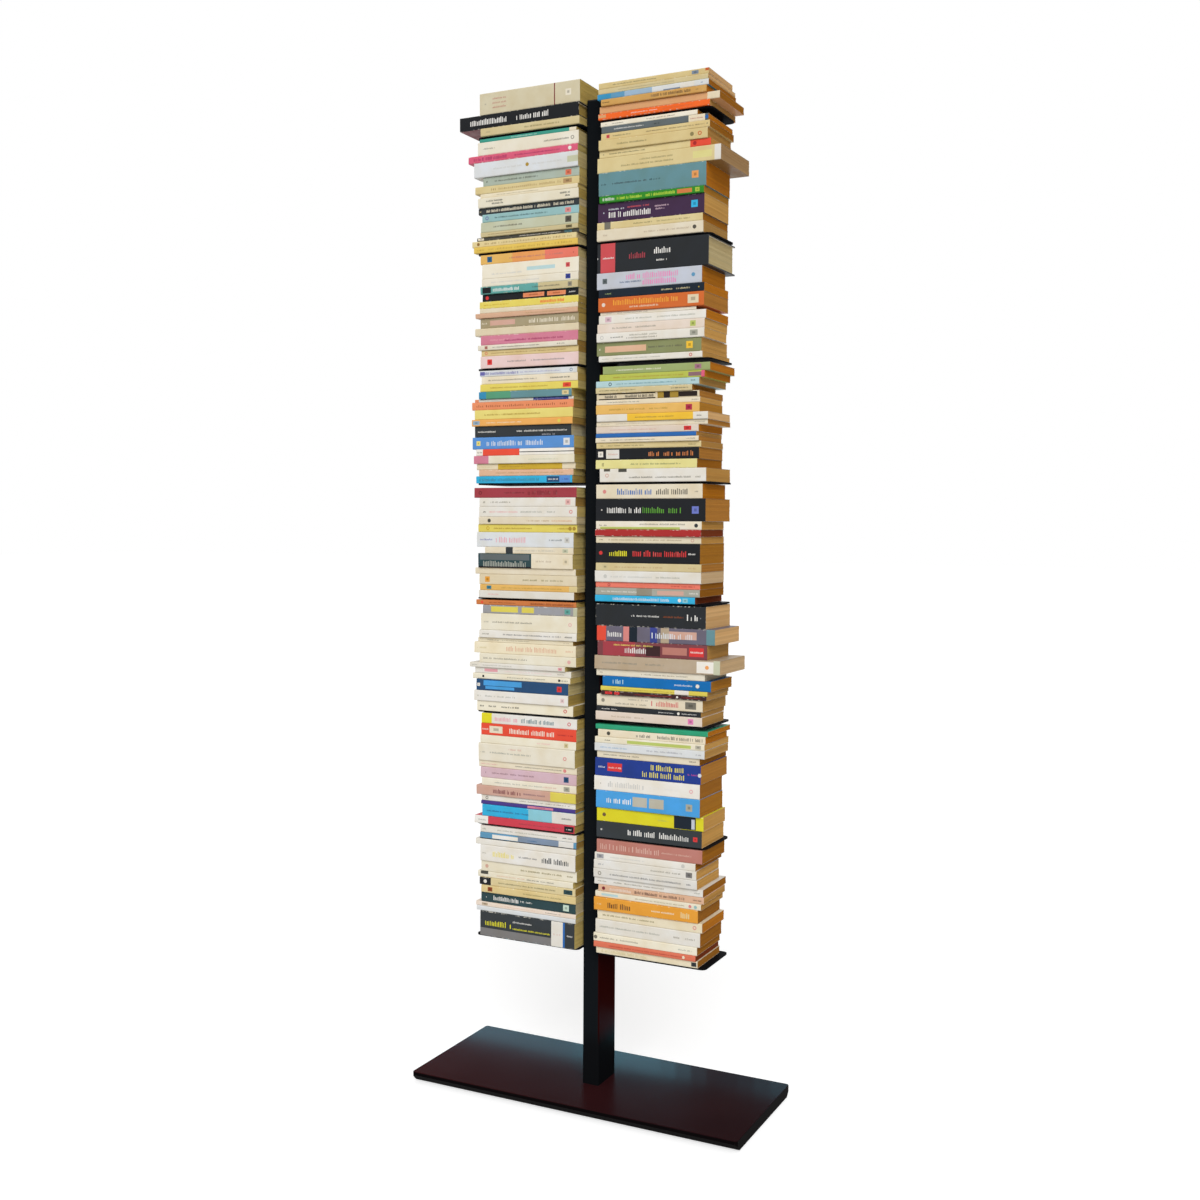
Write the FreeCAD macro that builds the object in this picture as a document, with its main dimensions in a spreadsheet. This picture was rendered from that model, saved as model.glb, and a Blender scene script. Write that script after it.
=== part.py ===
import FreeCAD, Part
import os
import Sketcher

# Spine bookshelf: a rectangular post on a weighted base, with plug-in shelves left and right of the post
# and a stack of lying books on every shelf. Millimetres, origin on the floor under the middle of the base,
# +X to the right, -Y to the front (the side that shows the spines), +Z up.

SIDES = ("left", "right")

SIZES = {
    # base
    "base_length": 600,
    "base_width": 250,
    "base_top": 20,
    "cover_bottom": 2,
    "cover_wall": 2,
    "edge_lip": 6,
    "undercut": 12,
    "base_corner_radius": 5,
    "base_edge_radius": 1.2,
    "ballast_length": 560,
    "ballast_width": 200,
    "ballast_bottom": 3,
    "ballast_thick": 8,
    "foot_length": 110,
    "foot_width": 170,
    "glide_radius": 13,
    "glide_stem_radius": 4,
    "glide_stem_height": 5,
    "glide_reach_x": 262,
    "glide_reach_y": 84,
    "foot_bolt_radius": 4,
    "foot_bolt_head_radius": 8,
    "foot_bolt_head_height": 4,
    "foot_bolt_length": 14,
    "foot_bolt_x": 38,
    "foot_bolt_y": 60,
    "cover_screw_radius": 2.5,
    "cover_screw_head_radius": 5,
    "cover_screw_head_height": 2.5,
    "cover_screw_length": 13,
    "cover_screw_x": 230,
    "cover_screw_y": 70,
    "standoff_radius": 6,
    "play": 0.1,
    # post
    "post_top": 1668,
    "post_width": 30,
    "post_depth": 65,
    "post_wall": 2,
    "post_corner_radius": 2.5,
    "cap_thick": 2,
    "cap_skirt": 16,
    "cap_skirt_wall": 2,
    # shelves
    "shelf_levels": 8,
    "shelf_lowest": 253,
    "shelf_pitch": 196,
    "shelf_thick": 2.5,
    "shelf_reach": 215,
    "shelf_depth": 104,
    "shelf_corner_radius": 9,
    "tongue_near": 3,
    "tongue_far": 25,
    "tongue_end_gap": 0.3,
    # books
    "spine_line": 56,
    "spine_step": 1.2,
    "book_gap": 0.1,
    "headroom": 5,
}

# One row per book, from the top of its stack down: thickness, distance of the inner end and of the outer
# end from the middle of the post, and depth from spine to fore edge.
BOOKS = {
    "left_1": [
        (36, 17, 208, 112), (23, 18, 247, 118), (13, 17, 205, 106),
    ],
    "left_2": [
        (6, 23, 208, 104), (22, 18, 211, 106), (12, 19, 229, 108), (25, 17, 217, 110), (15, 17, 201, 104),
        (12.5, 17, 216, 106), (7.5, 18, 205, 104), (16, 17, 209, 106), (11, 17, 210, 105), (13.5, 17, 202, 104),
        (17, 17, 204, 106), (7.5, 17, 204, 104), (6, 17, 213, 103), (10, 21, 222, 106), (10, 18, 218, 108),
    ],
    "left_3": [
        (16, 19, 206, 104), (24.5, 17, 202, 106), (13.5, 17, 202, 106), (12.5, 17, 204, 104), (12, 17, 202, 103),
        (12, 17, 207, 105), (8, 17, 206, 104), (8, 17, 214, 106), (17, 17, 206, 108), (12.5, 17, 216, 108),
        (16, 17, 204, 104), (8.5, 17, 209, 106), (10, 17, 204, 104), (20.5, 17, 205, 106),
    ],
    "left_4": [
        (10, 20, 207, 104), (13, 17, 203, 106), (12.5, 17, 205, 104), (12, 28, 207, 104), (5, 26, 217, 102),
        (13, 26, 222, 106), (16, 26, 216, 108), (11, 26, 221, 104), (18.5, 30, 217, 106), (20, 24, 221, 110),
        (11, 24, 213, 104), (13.5, 22, 217, 106), (10, 22, 213, 104), (10.5, 26, 208, 103), (12, 26, 213, 104),
    ],
    "left_5": [
        (16.5, 20, 218, 110), (14.5, 21, 207, 104), (17, 17, 207, 106), (12, 17, 207, 104), (13, 18, 210, 104),
        (24.5, 24, 212, 108), (10.5, 24, 195, 102), (24, 24, 208, 106), (10.5, 20, 216, 106), (17, 18, 207, 104),
        (9.5, 17, 205, 104), (12.5, 22, 207, 106),
    ],
    "left_6": [
        (8.5, 19, 214, 104), (14, 17, 200, 103), (27.5, 17, 203, 108), (13, 17, 206, 105), (7.5, 25, 210, 104),
        (18.5, 19, 217, 108), (16, 19, 206, 106), (8, 39, 225, 104), (10, 29, 216, 104), (9.5, 29, 220, 106),
        (19, 33, 212, 104), (17.5, 32, 216, 108), (17, 25, 212, 106),
    ],
    "left_7": [
        (17, 17, 203, 106), (19.5, 17, 203, 104), (13.5, 17, 204, 105), (29.5, 19, 207, 110), (11, 17, 208, 104),
        (17.5, 17, 204, 106), (13, 17, 201, 104), (16, 17, 211, 108), (10, 19, 203, 104), (6, 19, 203, 102),
        (19.5, 17, 200, 105), (13, 19, 215, 108),
    ],
    "left_8": [
        (12, 17, 205, 104), (11, 17, 205, 103), (10, 17, 213, 106), (28, 17, 203, 108), (18.5, 17, 203, 105),
        (10.5, 22, 209, 104), (13, 18, 205, 105), (12.5, 17, 201, 104), (17.5, 18, 203, 106), (7.5, 17, 213, 105),
        (8, 17, 211, 104), (43, 18, 203, 106),
    ],
    "right_1": [
        (9.5, 18, 210, 104), (8.5, 18, 210, 118), (9, 17, 212, 117), (10.5, 24, 208, 112), (11.5, 20, 229, 107),
        (9.5, 18, 213, 112),
    ],
    "right_2": [
        (8, 22, 192, 110), (11, 24, 210, 108), (11, 24, 214, 104), (16.5, 20, 210, 103), (11.5, 20, 215, 100),
        (24.5, 17, 233, 124), (38, 20, 208, 104), (11, 22, 205, 108), (31, 18, 205, 104), (12, 17, 203, 107),
        (18.5, 17, 204, 106),
    ],
    "right_3": [
        (49, 17, 212, 116), (27.5, 17, 202, 101), (14, 21, 207, 103), (23, 21, 207, 104), (5.5, 23, 193, 105),
        (14.5, 21, 209, 98), (15, 19, 207, 100), (15, 18, 207, 98), (22.5, 17, 202, 110), (10, 21, 204, 118),
    ],
    "right_4": [
        (13, 28, 216, 110), (11, 23, 208, 112), (11, 17, 200, 114), (9.5, 17, 188, 100), (10.5, 17, 199, 101),
        (8.5, 17, 200, 96), (15.5, 17, 200, 100), (12, 19, 215, 96), (8, 17, 213, 100), (11.5, 17, 199, 101),
        (7, 17, 195, 110), (8, 17, 200, 97), (10, 17, 202, 96), (18.5, 17, 199, 103), (15, 17, 197, 107),
        (22, 25, 213, 104),
    ],
    "right_5": [
        (23, 17, 206, 97), (35.5, 17, 212, 104), (13, 18, 206, 94), (11, 17, 205, 96), (11, 17, 203, 101),
        (31.5, 17, 202, 106), (12.5, 18, 206, 97), (18, 17, 206, 98), (9, 17, 203, 101), (12, 17, 202, 106),
        (10.5, 17, 195, 116),
    ],
    "right_6": [
        (37, 17, 213, 106), (25.5, 20, 229, 108), (24.5, 22, 216, 96), (23, 17, 239, 112), (11.5, 19, 212, 95),
        (17, 31, 223, 92), (7.5, 28, 217, 95), (7, 29, 216, 95), (19.5, 20, 209, 100), (8.5, 20, 206, 102),
        (15, 19, 209, 94),
    ],
    "right_7": [
        (8, 18, 218, 98), (12, 23, 214, 95), (10, 18, 213, 107), (13, 18, 214, 104), (11.5, 21, 204, 117),
        (29.5, 18, 207, 114), (23.5, 17, 206, 97), (28.5, 21, 207, 98), (22.5, 21, 211, 97), (26.5, 21, 209, 97),
    ],
    "right_8": [
        (22.5, 21, 210, 98), (12, 18, 199, 114), (14.5, 17, 201, 98), (15.5, 17, 203, 95), (12, 17, 211, 103),
        (11, 25, 213, 95), (10, 20, 210, 94), (22, 18, 204, 98), (16, 23, 211, 95), (23.5, 20, 208, 93),
        (14, 17, 203, 100), (9.5, 18, 201, 101), (11.5, 21, 203, 97),
    ],
}

doc = FreeCAD.newDocument("spine_bookshelf")


def fill_sheet(name, values):
    """Spreadsheet with one named value per row."""
    sheet = doc.addObject("Spreadsheet::Sheet", name)
    for row, (alias, number) in enumerate(values.items(), start=1):
        sheet.set(f"A{row}", alias)
        sheet.set(f"B{row}", str(number))
        sheet.setAlias(f"B{row}", alias)
    return sheet


def book_values():
    """The books' rows as named values, with each stack's thicknesses fitted to its shelf below."""
    fields = ("thick", "inner", "outer", "deep")
    values = {}
    for stack, rows in BOOKS.items():
        for number, row in enumerate(rows, start=1):
            for field, size in zip(fields, row):
                values[f"{stack}_book_{number:02d}_{field}"] = size
        values[f"{stack}_sum"] = sum(row[0] for row in rows)
        values[f"{stack}_count"] = len(rows)
    return values


sizes = fill_sheet("Sizes", SIZES)
books = fill_sheet("Books", book_values())
doc.recompute()


def value(expression):
    return float(sizes.evalExpression(expression))


def bind(thing, **expressions):
    """Bind properties to sheet expressions; double underscores stand for the dots of a property path."""
    for path, expression in expressions.items():
        thing.setExpression(path.replace("__", "."), expression)
    return thing


def place(thing, x="0", y="0", z="0"):
    return bind(thing, Placement__Base__x=x, Placement__Base__y=y, Placement__Base__z=z)


def primitive(kind, label, x="0", y="0", z="0", **expressions):
    """Part primitive whose sizes and place are sheet expressions."""
    thing = doc.addObject(f"Part::{kind}", label)
    bind(thing, **expressions)
    return place(thing, x, y, z)


def fuse(label, parts):
    thing = doc.addObject("Part::MultiFuse", label)
    thing.Shapes = parts
    return thing


def cut(label, base, tool):
    thing = doc.addObject("Part::Cut", label)
    thing.Base = base
    thing.Tool = tool
    return thing


def group(label, parts):
    thing = doc.addObject("Part::Compound", label)
    thing.Links = parts
    return thing


# PartDesign helpers


def new_body(label):
    body = doc.addObject("PartDesign::Body", label)
    body.Label = label
    return body


def origin_feature(body, role):
    return next(feature for feature in body.Origin.OriginFeatures if feature.Role == role)


def outline(body, name, plane, corners):
    """Closed straight-sided sketch on an origin plane; each corner is a pair of sheet expressions."""
    sketch = body.newObject("Sketcher::SketchObject", name)
    sketch.AttachmentSupport = (origin_feature(body, plane), [""])
    sketch.MapMode = "FlatFace"
    points = [FreeCAD.Vector(value(u), value(v), 0) for u, v in corners]
    count = len(points)
    for i in range(count):
        sketch.addGeometry(Part.LineSegment(points[i], points[(i + 1) % count]))
    for i in range(count):
        sketch.addConstraint(Sketcher.Constraint("Coincident", i, 2, (i + 1) % count, 1))
    for i, pair in enumerate(corners):
        for axis, expression in zip("XY", pair):
            rule = Sketcher.Constraint("Distance" + axis, -1, 1, i, 1, value(expression))
            sketch.setExpression(f"Constraints[{sketch.addConstraint(rule)}]", expression)
    return sketch


def rectangle(body, name, plane, u_low, u_high, v_low, v_high):
    corners = [(u_low, v_low), (u_high, v_low), (u_high, v_high), (u_low, v_high)]
    return outline(body, name, plane, corners)


def pad(body, name, profile, length, both_ways=False, backwards=False):
    feature = body.newObject("PartDesign::Pad", name)
    feature.Profile = profile
    if both_ways:
        feature.SideType = "Symmetric"
    feature.Reversed = backwards
    bind(feature, Length=length)
    doc.recompute()
    return feature


def pocket(body, name, profile, length, both_ways=False, backwards=False):
    """Pocket that must take material away."""
    before = body.Shape.Volume
    feature = body.newObject("PartDesign::Pocket", name)
    feature.Profile = profile
    if both_ways:
        feature.SideType = "Symmetric"
    feature.Reversed = backwards
    bind(feature, Length=length)
    doc.recompute()
    if not body.Shape.Volume < before:
        raise RuntimeError(f"{body.Label} {name} cuts nothing")
    return feature


def fillet(body, name, radius, wanted):
    """Round the edges of the body's tip that the test picks."""
    base = body.Tip
    names = [f"Edge{i}" for i, edge in enumerate(base.Shape.Edges, start=1) if wanted(edge)]
    feature = body.newObject("PartDesign::Fillet", name)
    feature.Base = (base, names)
    bind(feature, Radius=radius)
    doc.recompute()
    return feature


def is_upright(edge):
    """True for a straight edge along Z."""
    low, high = edge.BoundBox.ZMin, edge.BoundBox.ZMax
    return isinstance(edge.Curve, Part.Line) and abs(edge.Length - (high - low)) < 1e-6


def lies_at_height(edge, height):
    return abs(edge.BoundBox.ZMin - height) < 1e-6 and abs(edge.BoundBox.ZMax - height) < 1e-6


# Base


def base_cover():
    """Folded sheet tray, open below: flat top, long edges with a short lip and an undercut, upright ends."""
    body = new_body("base_cover")
    half = "Sizes.base_width / 2"
    lip = "Sizes.base_top - Sizes.edge_lip"
    foot = f"{half} - Sizes.undercut"
    outside = outline(body, "section", "YZ_Plane", [
        (f"-({foot})", "Sizes.cover_bottom"), (foot, "Sizes.cover_bottom"), (half, lip),
        (half, "Sizes.base_top"), (f"-({half})", "Sizes.base_top"), (f"-({half})", lip),
    ])
    pad(body, "tray", outside, "Sizes.base_length", both_ways=True)
    fillet(body, "corners", "Sizes.base_corner_radius", is_upright)
    top = value("Sizes.base_top")
    fillet(body, "top_edge", "Sizes.base_edge_radius", lambda edge: lies_at_height(edge, top))
    half_in = f"{half} - Sizes.cover_wall"
    ceiling = "Sizes.base_top - Sizes.cover_wall"
    foot_in = f"{foot} - Sizes.cover_wall * 1.5"
    inside = outline(body, "inside_section", "YZ_Plane", [
        (f"-({foot_in})", "Sizes.cover_bottom"), (foot_in, "Sizes.cover_bottom"),
        (half_in, f"{lip} + Sizes.cover_wall * 0.6"), (half_in, ceiling),
        (f"-({half_in})", ceiling), (f"-({half_in})", f"{lip} + Sizes.cover_wall * 0.6"),
    ])
    pocket(body, "hollow", inside, "Sizes.base_length - 2 * Sizes.cover_wall", both_ways=True)
    opening = rectangle(
        body, "post_opening", "XY_Plane",
        "-(Sizes.post_width / 2 + Sizes.play)", "Sizes.post_width / 2 + Sizes.play",
        "-(Sizes.post_depth / 2 + Sizes.play)", "Sizes.post_depth / 2 + Sizes.play")
    pocket(body, "post_hole", opening, "Sizes.base_top + 1", backwards=True)
    return body


def four_places(reach_x, reach_y):
    return [(f"{sx}{reach_x}", f"{sy}{reach_y}") for sx in ("-", "") for sy in ("-", "")]


def glide_places():
    ends = four_places("Sizes.glide_reach_x", "Sizes.glide_reach_y")
    middle = [("0", "-Sizes.glide_reach_y"), ("0", "Sizes.glide_reach_y")]
    return ends + middle


def countersunk_bore(label, place_xy, kind, floor, depth):
    """Through bore with a countersink at its lower end, as a cutting tool."""
    x, y = place_xy
    shank = primitive(
        "Cylinder", f"{label}_shank", x, y, floor,
        Radius=f"Sizes.{kind}_radius + Sizes.play", Height=depth)
    sink = primitive(
        "Cone", f"{label}_sink", x, y, floor,
        Radius1=f"Sizes.{kind}_head_radius + Sizes.play", Radius2=f"Sizes.{kind}_radius + Sizes.play",
        Height=f"Sizes.{kind}_head_height + Sizes.play")
    return [shank, sink]


def ballast_plate():
    """Steel slab inside the cover, with bores for the bolts, the screws and the glides."""
    slab = primitive(
        "Box", "ballast_slab", "-Sizes.ballast_length / 2", "-Sizes.ballast_width / 2", "Sizes.ballast_bottom",
        Length="Sizes.ballast_length", Width="Sizes.ballast_width", Height="Sizes.ballast_thick")
    tools = []
    for i, spot in enumerate(four_places("Sizes.foot_bolt_x", "Sizes.foot_bolt_y")):
        tools += countersunk_bore(f"foot_bore_{i}", spot, "foot_bolt", "Sizes.ballast_bottom",
                                  "Sizes.ballast_thick")
    for i, spot in enumerate(four_places("Sizes.cover_screw_x", "Sizes.cover_screw_y")):
        tools += countersunk_bore(f"screw_bore_{i}", spot, "cover_screw", "Sizes.ballast_bottom",
                                  "Sizes.ballast_thick")
    for i, (x, y) in enumerate(glide_places()):
        tools.append(primitive(
            "Cylinder", f"glide_bore_{i}", x, y, "Sizes.ballast_bottom",
            Radius="Sizes.glide_stem_radius + Sizes.play", Height="Sizes.glide_stem_height + Sizes.play"))
    return cut("ballast_plate", slab, fuse("ballast_bores", tools))


def foot_plate():
    """Plate welded under the post, clamped between the cover's top and the ballast."""
    floor = "Sizes.ballast_bottom + Sizes.ballast_thick"
    height = f"Sizes.base_top - Sizes.cover_wall - ({floor})"
    slab = primitive(
        "Box", "foot_slab", "-Sizes.foot_length / 2", "-Sizes.foot_width / 2", floor,
        Length="Sizes.foot_length", Width="Sizes.foot_width", Height=height)
    bores = [
        primitive("Cylinder", f"foot_thread_{i}", x, y, floor,
                  Radius="Sizes.foot_bolt_radius + Sizes.play", Height=height)
        for i, (x, y) in enumerate(four_places("Sizes.foot_bolt_x", "Sizes.foot_bolt_y"))]
    return cut("foot_plate", slab, fuse("foot_threads", bores))


def countersunk_screws(label, places, kind):
    """Countersunk screws driven up from the underside of the ballast."""
    screws = []
    for i, (x, y) in enumerate(places):
        head = primitive(
            "Cone", f"{label}_head_{i}", x, y, "Sizes.ballast_bottom",
            Radius1=f"Sizes.{kind}_head_radius", Radius2=f"Sizes.{kind}_radius",
            Height=f"Sizes.{kind}_head_height")
        shank = primitive(
            "Cylinder", f"{label}_shank_{i}", x, y, f"Sizes.ballast_bottom + Sizes.{kind}_head_height",
            Radius=f"Sizes.{kind}_radius", Height=f"Sizes.{kind}_length - Sizes.{kind}_head_height")
        screws.append(fuse(f"{label}_{i}", [head, shank]))
    return group(label, screws)


def cover_standoffs():
    """Threaded sleeves welded under the cover's top that take the cover screws."""
    floor = "Sizes.ballast_bottom + Sizes.ballast_thick"
    height = f"Sizes.base_top - Sizes.cover_wall - ({floor})"
    sleeves = []
    for i, (x, y) in enumerate(four_places("Sizes.cover_screw_x", "Sizes.cover_screw_y")):
        outer = primitive("Cylinder", f"sleeve_{i}", x, y, floor, Radius="Sizes.standoff_radius", Height=height)
        thread = primitive("Cylinder", f"sleeve_thread_{i}", x, y, floor,
                           Radius="Sizes.cover_screw_radius + Sizes.play", Height=height)
        sleeves.append(cut(f"standoff_{i}", outer, thread))
    return group("cover_standoffs", sleeves)


def base_glides():
    """Plastic discs that the bookshelf stands on, each with a stem pressed into the ballast."""
    glides = []
    for i, (x, y) in enumerate(glide_places()):
        disc = primitive("Cylinder", f"glide_disc_{i}", x, y, "0",
                         Radius="Sizes.glide_radius", Height="Sizes.ballast_bottom")
        stem = primitive("Cylinder", f"glide_stem_{i}", x, y, "Sizes.ballast_bottom",
                         Radius="Sizes.glide_stem_radius", Height="Sizes.glide_stem_height")
        glides.append(fuse(f"glide_{i}", [disc, stem]))
    return group("base_glides", glides)


# Post


def shelf_height(level):
    """Underside of a shelf; level 1 is the highest."""
    return f"Sizes.shelf_lowest + (Sizes.shelf_levels - {level}) * Sizes.shelf_pitch"


def post_tube():
    """Rectangular tube with two slots per level through both side walls."""
    body = new_body("post_tube")
    foot = "(Sizes.base_top - Sizes.cover_wall)"
    place(body, z=foot)
    half_x, half_y = "Sizes.post_width / 2", "Sizes.post_depth / 2"
    outside = rectangle(body, "section", "XY_Plane", f"-{half_x}", half_x, f"-{half_y}", half_y)
    pad(body, "bar", outside, f"Sizes.post_top - {foot}")
    fillet(body, "corners", "Sizes.post_corner_radius", is_upright)
    in_x, in_y = f"({half_x} - Sizes.post_wall)", f"({half_y} - Sizes.post_wall)"
    inside = rectangle(body, "inside_section", "XY_Plane", f"-{in_x}", in_x, f"-{in_y}", in_y)
    pocket(body, "hollow", inside, f"Sizes.post_top - {foot}", backwards=True)
    slot_low = f"Sizes.shelf_lowest - Sizes.play - {foot}"
    slot_high = f"Sizes.shelf_lowest + Sizes.shelf_thick + Sizes.play - {foot}"
    near, far = "(Sizes.tongue_near - Sizes.play)", "(Sizes.tongue_far + Sizes.play)"
    slots = []
    for name, low, high in (("back_slot", near, far), ("front_slot", f"-{far}", f"-{near}")):
        profile = rectangle(body, f"{name}_outline", "YZ_Plane", low, high, slot_low, slot_high)
        slots.append(pocket(body, name, profile, "Sizes.post_width + 2", both_ways=True))
    before = body.Shape.Volume
    rows = body.newObject("PartDesign::LinearPattern", "slot_rows")
    rows.Originals = slots
    rows.Direction = (origin_feature(body, "Z_Axis"), [""])
    rows.Mode = "Extent"
    bind(rows, Length="(Sizes.shelf_levels - 1) * Sizes.shelf_pitch", Occurrences="Sizes.shelf_levels")
    body.Tip = rows
    doc.recompute()
    if not body.Shape.Volume < before:
        raise RuntimeError("the slot rows cut nothing")
    return body


def post_cap():
    """Flat lid with a hollow skirt that plugs the tube's top."""
    body = new_body("post_cap")
    place(body, z="Sizes.post_top")
    half_x, half_y = "Sizes.post_width / 2", "Sizes.post_depth / 2"
    lid = rectangle(body, "lid_outline", "XY_Plane", f"-{half_x}", half_x, f"-{half_y}", half_y)
    pad(body, "lid", lid, "Sizes.cap_thick")
    fillet(body, "corners", "Sizes.post_corner_radius", is_upright)
    top = value("Sizes.cap_thick")
    fillet(body, "top_edge", "Sizes.cap_thick / 4", lambda edge: lies_at_height(edge, top))
    inset = "Sizes.post_wall - Sizes.play"
    out_x, out_y = f"({half_x} - {inset})", f"({half_y} - {inset})"
    skirt = rectangle(body, "skirt_outline", "XY_Plane", f"-{out_x}", out_x, f"-{out_y}", out_y)
    pad(body, "skirt", skirt, "Sizes.cap_skirt", backwards=True)
    in_x, in_y = f"({out_x} - Sizes.cap_skirt_wall)", f"({out_y} - Sizes.cap_skirt_wall)"
    hollow = rectangle(body, "skirt_hollow_outline", "XY_Plane", f"-{in_x}", in_x, f"-{in_y}", in_y)
    pocket(body, "skirt_hollow", hollow, "Sizes.cap_skirt")
    return body


# Shelves


def shelf(side, level):
    """Flat shelf whose tongue passes through the post; a left shelf is a right one turned half round."""
    body = new_body(f"shelf_{side}_{level}")
    place(body, z=shelf_height(level))
    body.Placement.Rotation = FreeCAD.Rotation(FreeCAD.Vector(0, 0, 1), 180 if side == "left" else 0)
    half_x = "Sizes.post_width / 2"
    panel = rectangle(body, "panel_outline", "XY_Plane", half_x, "Sizes.shelf_reach",
                      "-Sizes.shelf_depth / 2", "Sizes.shelf_depth / 2")
    pad(body, "panel", panel, "Sizes.shelf_thick")
    fillet(body, "corners", "Sizes.shelf_corner_radius", is_upright)
    tongue = rectangle(body, "tongue_outline", "XY_Plane", f"-({half_x} - Sizes.tongue_end_gap)", f"{half_x} + 1",
                       "Sizes.tongue_near", "Sizes.tongue_far")
    pad(body, "tongue", tongue, "Sizes.shelf_thick")
    return body


# Books


def book_stack(side, level):
    """Books lying on one shelf, each resting on the one below with its spine to the front."""
    stack = f"{side}_{level}"
    count = len(BOOKS[stack])
    shelf_top = f"{shelf_height(level)} + Sizes.shelf_thick"
    room = f"(Sizes.shelf_pitch - Sizes.shelf_thick - Sizes.headroom - Books.{stack}_count * Sizes.book_gap)"
    scale = "1" if level == 1 else f"{room} / Books.{stack}_sum"
    boxes = []
    for number in range(count, 0, -1):
        row = f"Books.{stack}_book_{number:02d}"
        below = boxes[-1].Name if boxes else None
        floor = f"({below}.Placement.Base.z + {below}.Height) / 1 mm" if below else shelf_top
        left_end = f"{row}_inner" if side == "right" else f"-{row}_outer"
        step = (3 * number) % 4 - 1.5
        boxes.append(primitive(
            "Box", f"book_{stack}_{number:02d}",
            left_end, f"-Sizes.spine_line + {step} * Sizes.spine_step", f"{floor} + Sizes.book_gap",
            Length=f"{row}_outer - {row}_inner", Width=f"{row}_deep", Height=f"{row}_thick * {scale}"))
    return group(f"books_{stack}", boxes)


def levels():
    return range(1, SIZES["shelf_levels"] + 1)


def build():
    """All sub-parts, in the order in which the bookshelf is put together."""
    parts = [
        base_glides(), ballast_plate(), foot_plate(),
        countersunk_screws("foot_bolts", four_places("Sizes.foot_bolt_x", "Sizes.foot_bolt_y"), "foot_bolt"),
        cover_standoffs(),
        countersunk_screws("cover_screws", four_places("Sizes.cover_screw_x", "Sizes.cover_screw_y"),
                           "cover_screw"),
        base_cover(), post_tube(), post_cap(),
    ]
    parts += [shelf(side, level) for side in SIDES for level in levels()]
    parts += [book_stack(side, level) for side in SIDES for level in levels()]
    return parts


def check(parts):
    """Stop on any failed object and on any empty or invalid shape."""
    for thing in doc.Objects:
        if {"Invalid", "Error"} & set(thing.State):
            raise RuntimeError(f"{thing.Label} failed: {thing.State}")
    for part in parts:
        if part.Shape.isNull() or not part.Shape.isValid():
            raise RuntimeError(f"{part.Label} has no valid shape")


def write(parts):
    os.makedirs("parts", exist_ok=True)
    for part in parts:
        part.Shape.exportStep(os.path.join("parts", part.Label + ".step"))
        print(part.Label, len(part.Shape.Solids), "solids", round(part.Shape.Volume), "mm3")


sub_parts = build()
doc.recompute()
check(sub_parts)
write(sub_parts)
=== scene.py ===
import math
import random

import bpy
import numpy
from mathutils import Euler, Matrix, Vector


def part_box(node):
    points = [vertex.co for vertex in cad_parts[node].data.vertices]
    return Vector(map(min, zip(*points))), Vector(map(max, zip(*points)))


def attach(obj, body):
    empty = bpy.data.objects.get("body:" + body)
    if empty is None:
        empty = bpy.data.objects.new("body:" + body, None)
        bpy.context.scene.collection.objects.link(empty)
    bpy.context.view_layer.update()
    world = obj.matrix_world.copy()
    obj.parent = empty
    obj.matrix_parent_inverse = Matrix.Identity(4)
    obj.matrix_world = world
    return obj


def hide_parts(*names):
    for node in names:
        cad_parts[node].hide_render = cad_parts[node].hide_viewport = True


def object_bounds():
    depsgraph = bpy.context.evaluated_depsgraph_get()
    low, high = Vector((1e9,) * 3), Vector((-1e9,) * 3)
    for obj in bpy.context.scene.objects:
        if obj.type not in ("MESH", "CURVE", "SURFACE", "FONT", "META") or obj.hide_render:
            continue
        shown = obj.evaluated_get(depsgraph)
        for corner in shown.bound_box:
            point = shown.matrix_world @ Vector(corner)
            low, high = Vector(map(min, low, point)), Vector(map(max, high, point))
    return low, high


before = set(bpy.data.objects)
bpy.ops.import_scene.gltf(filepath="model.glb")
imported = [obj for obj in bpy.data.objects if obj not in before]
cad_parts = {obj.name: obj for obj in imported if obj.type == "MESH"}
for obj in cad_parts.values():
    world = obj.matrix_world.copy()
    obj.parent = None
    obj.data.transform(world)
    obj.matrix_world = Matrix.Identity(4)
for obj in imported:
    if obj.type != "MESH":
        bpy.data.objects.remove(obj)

CAD_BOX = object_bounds()
MM = 0.001

# Spine bookshelf: powder-coated steel post, base and shelves, and a stack of lying books on every shelf.
# The steelwork is the frame's own; this script gives it its finish. Each stack of boxes is replaced by
# books made of a folded cover, a block of cut leaves and what is printed on the spine. Metres throughout;
# lengths are written in millimetres times MM.

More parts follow.
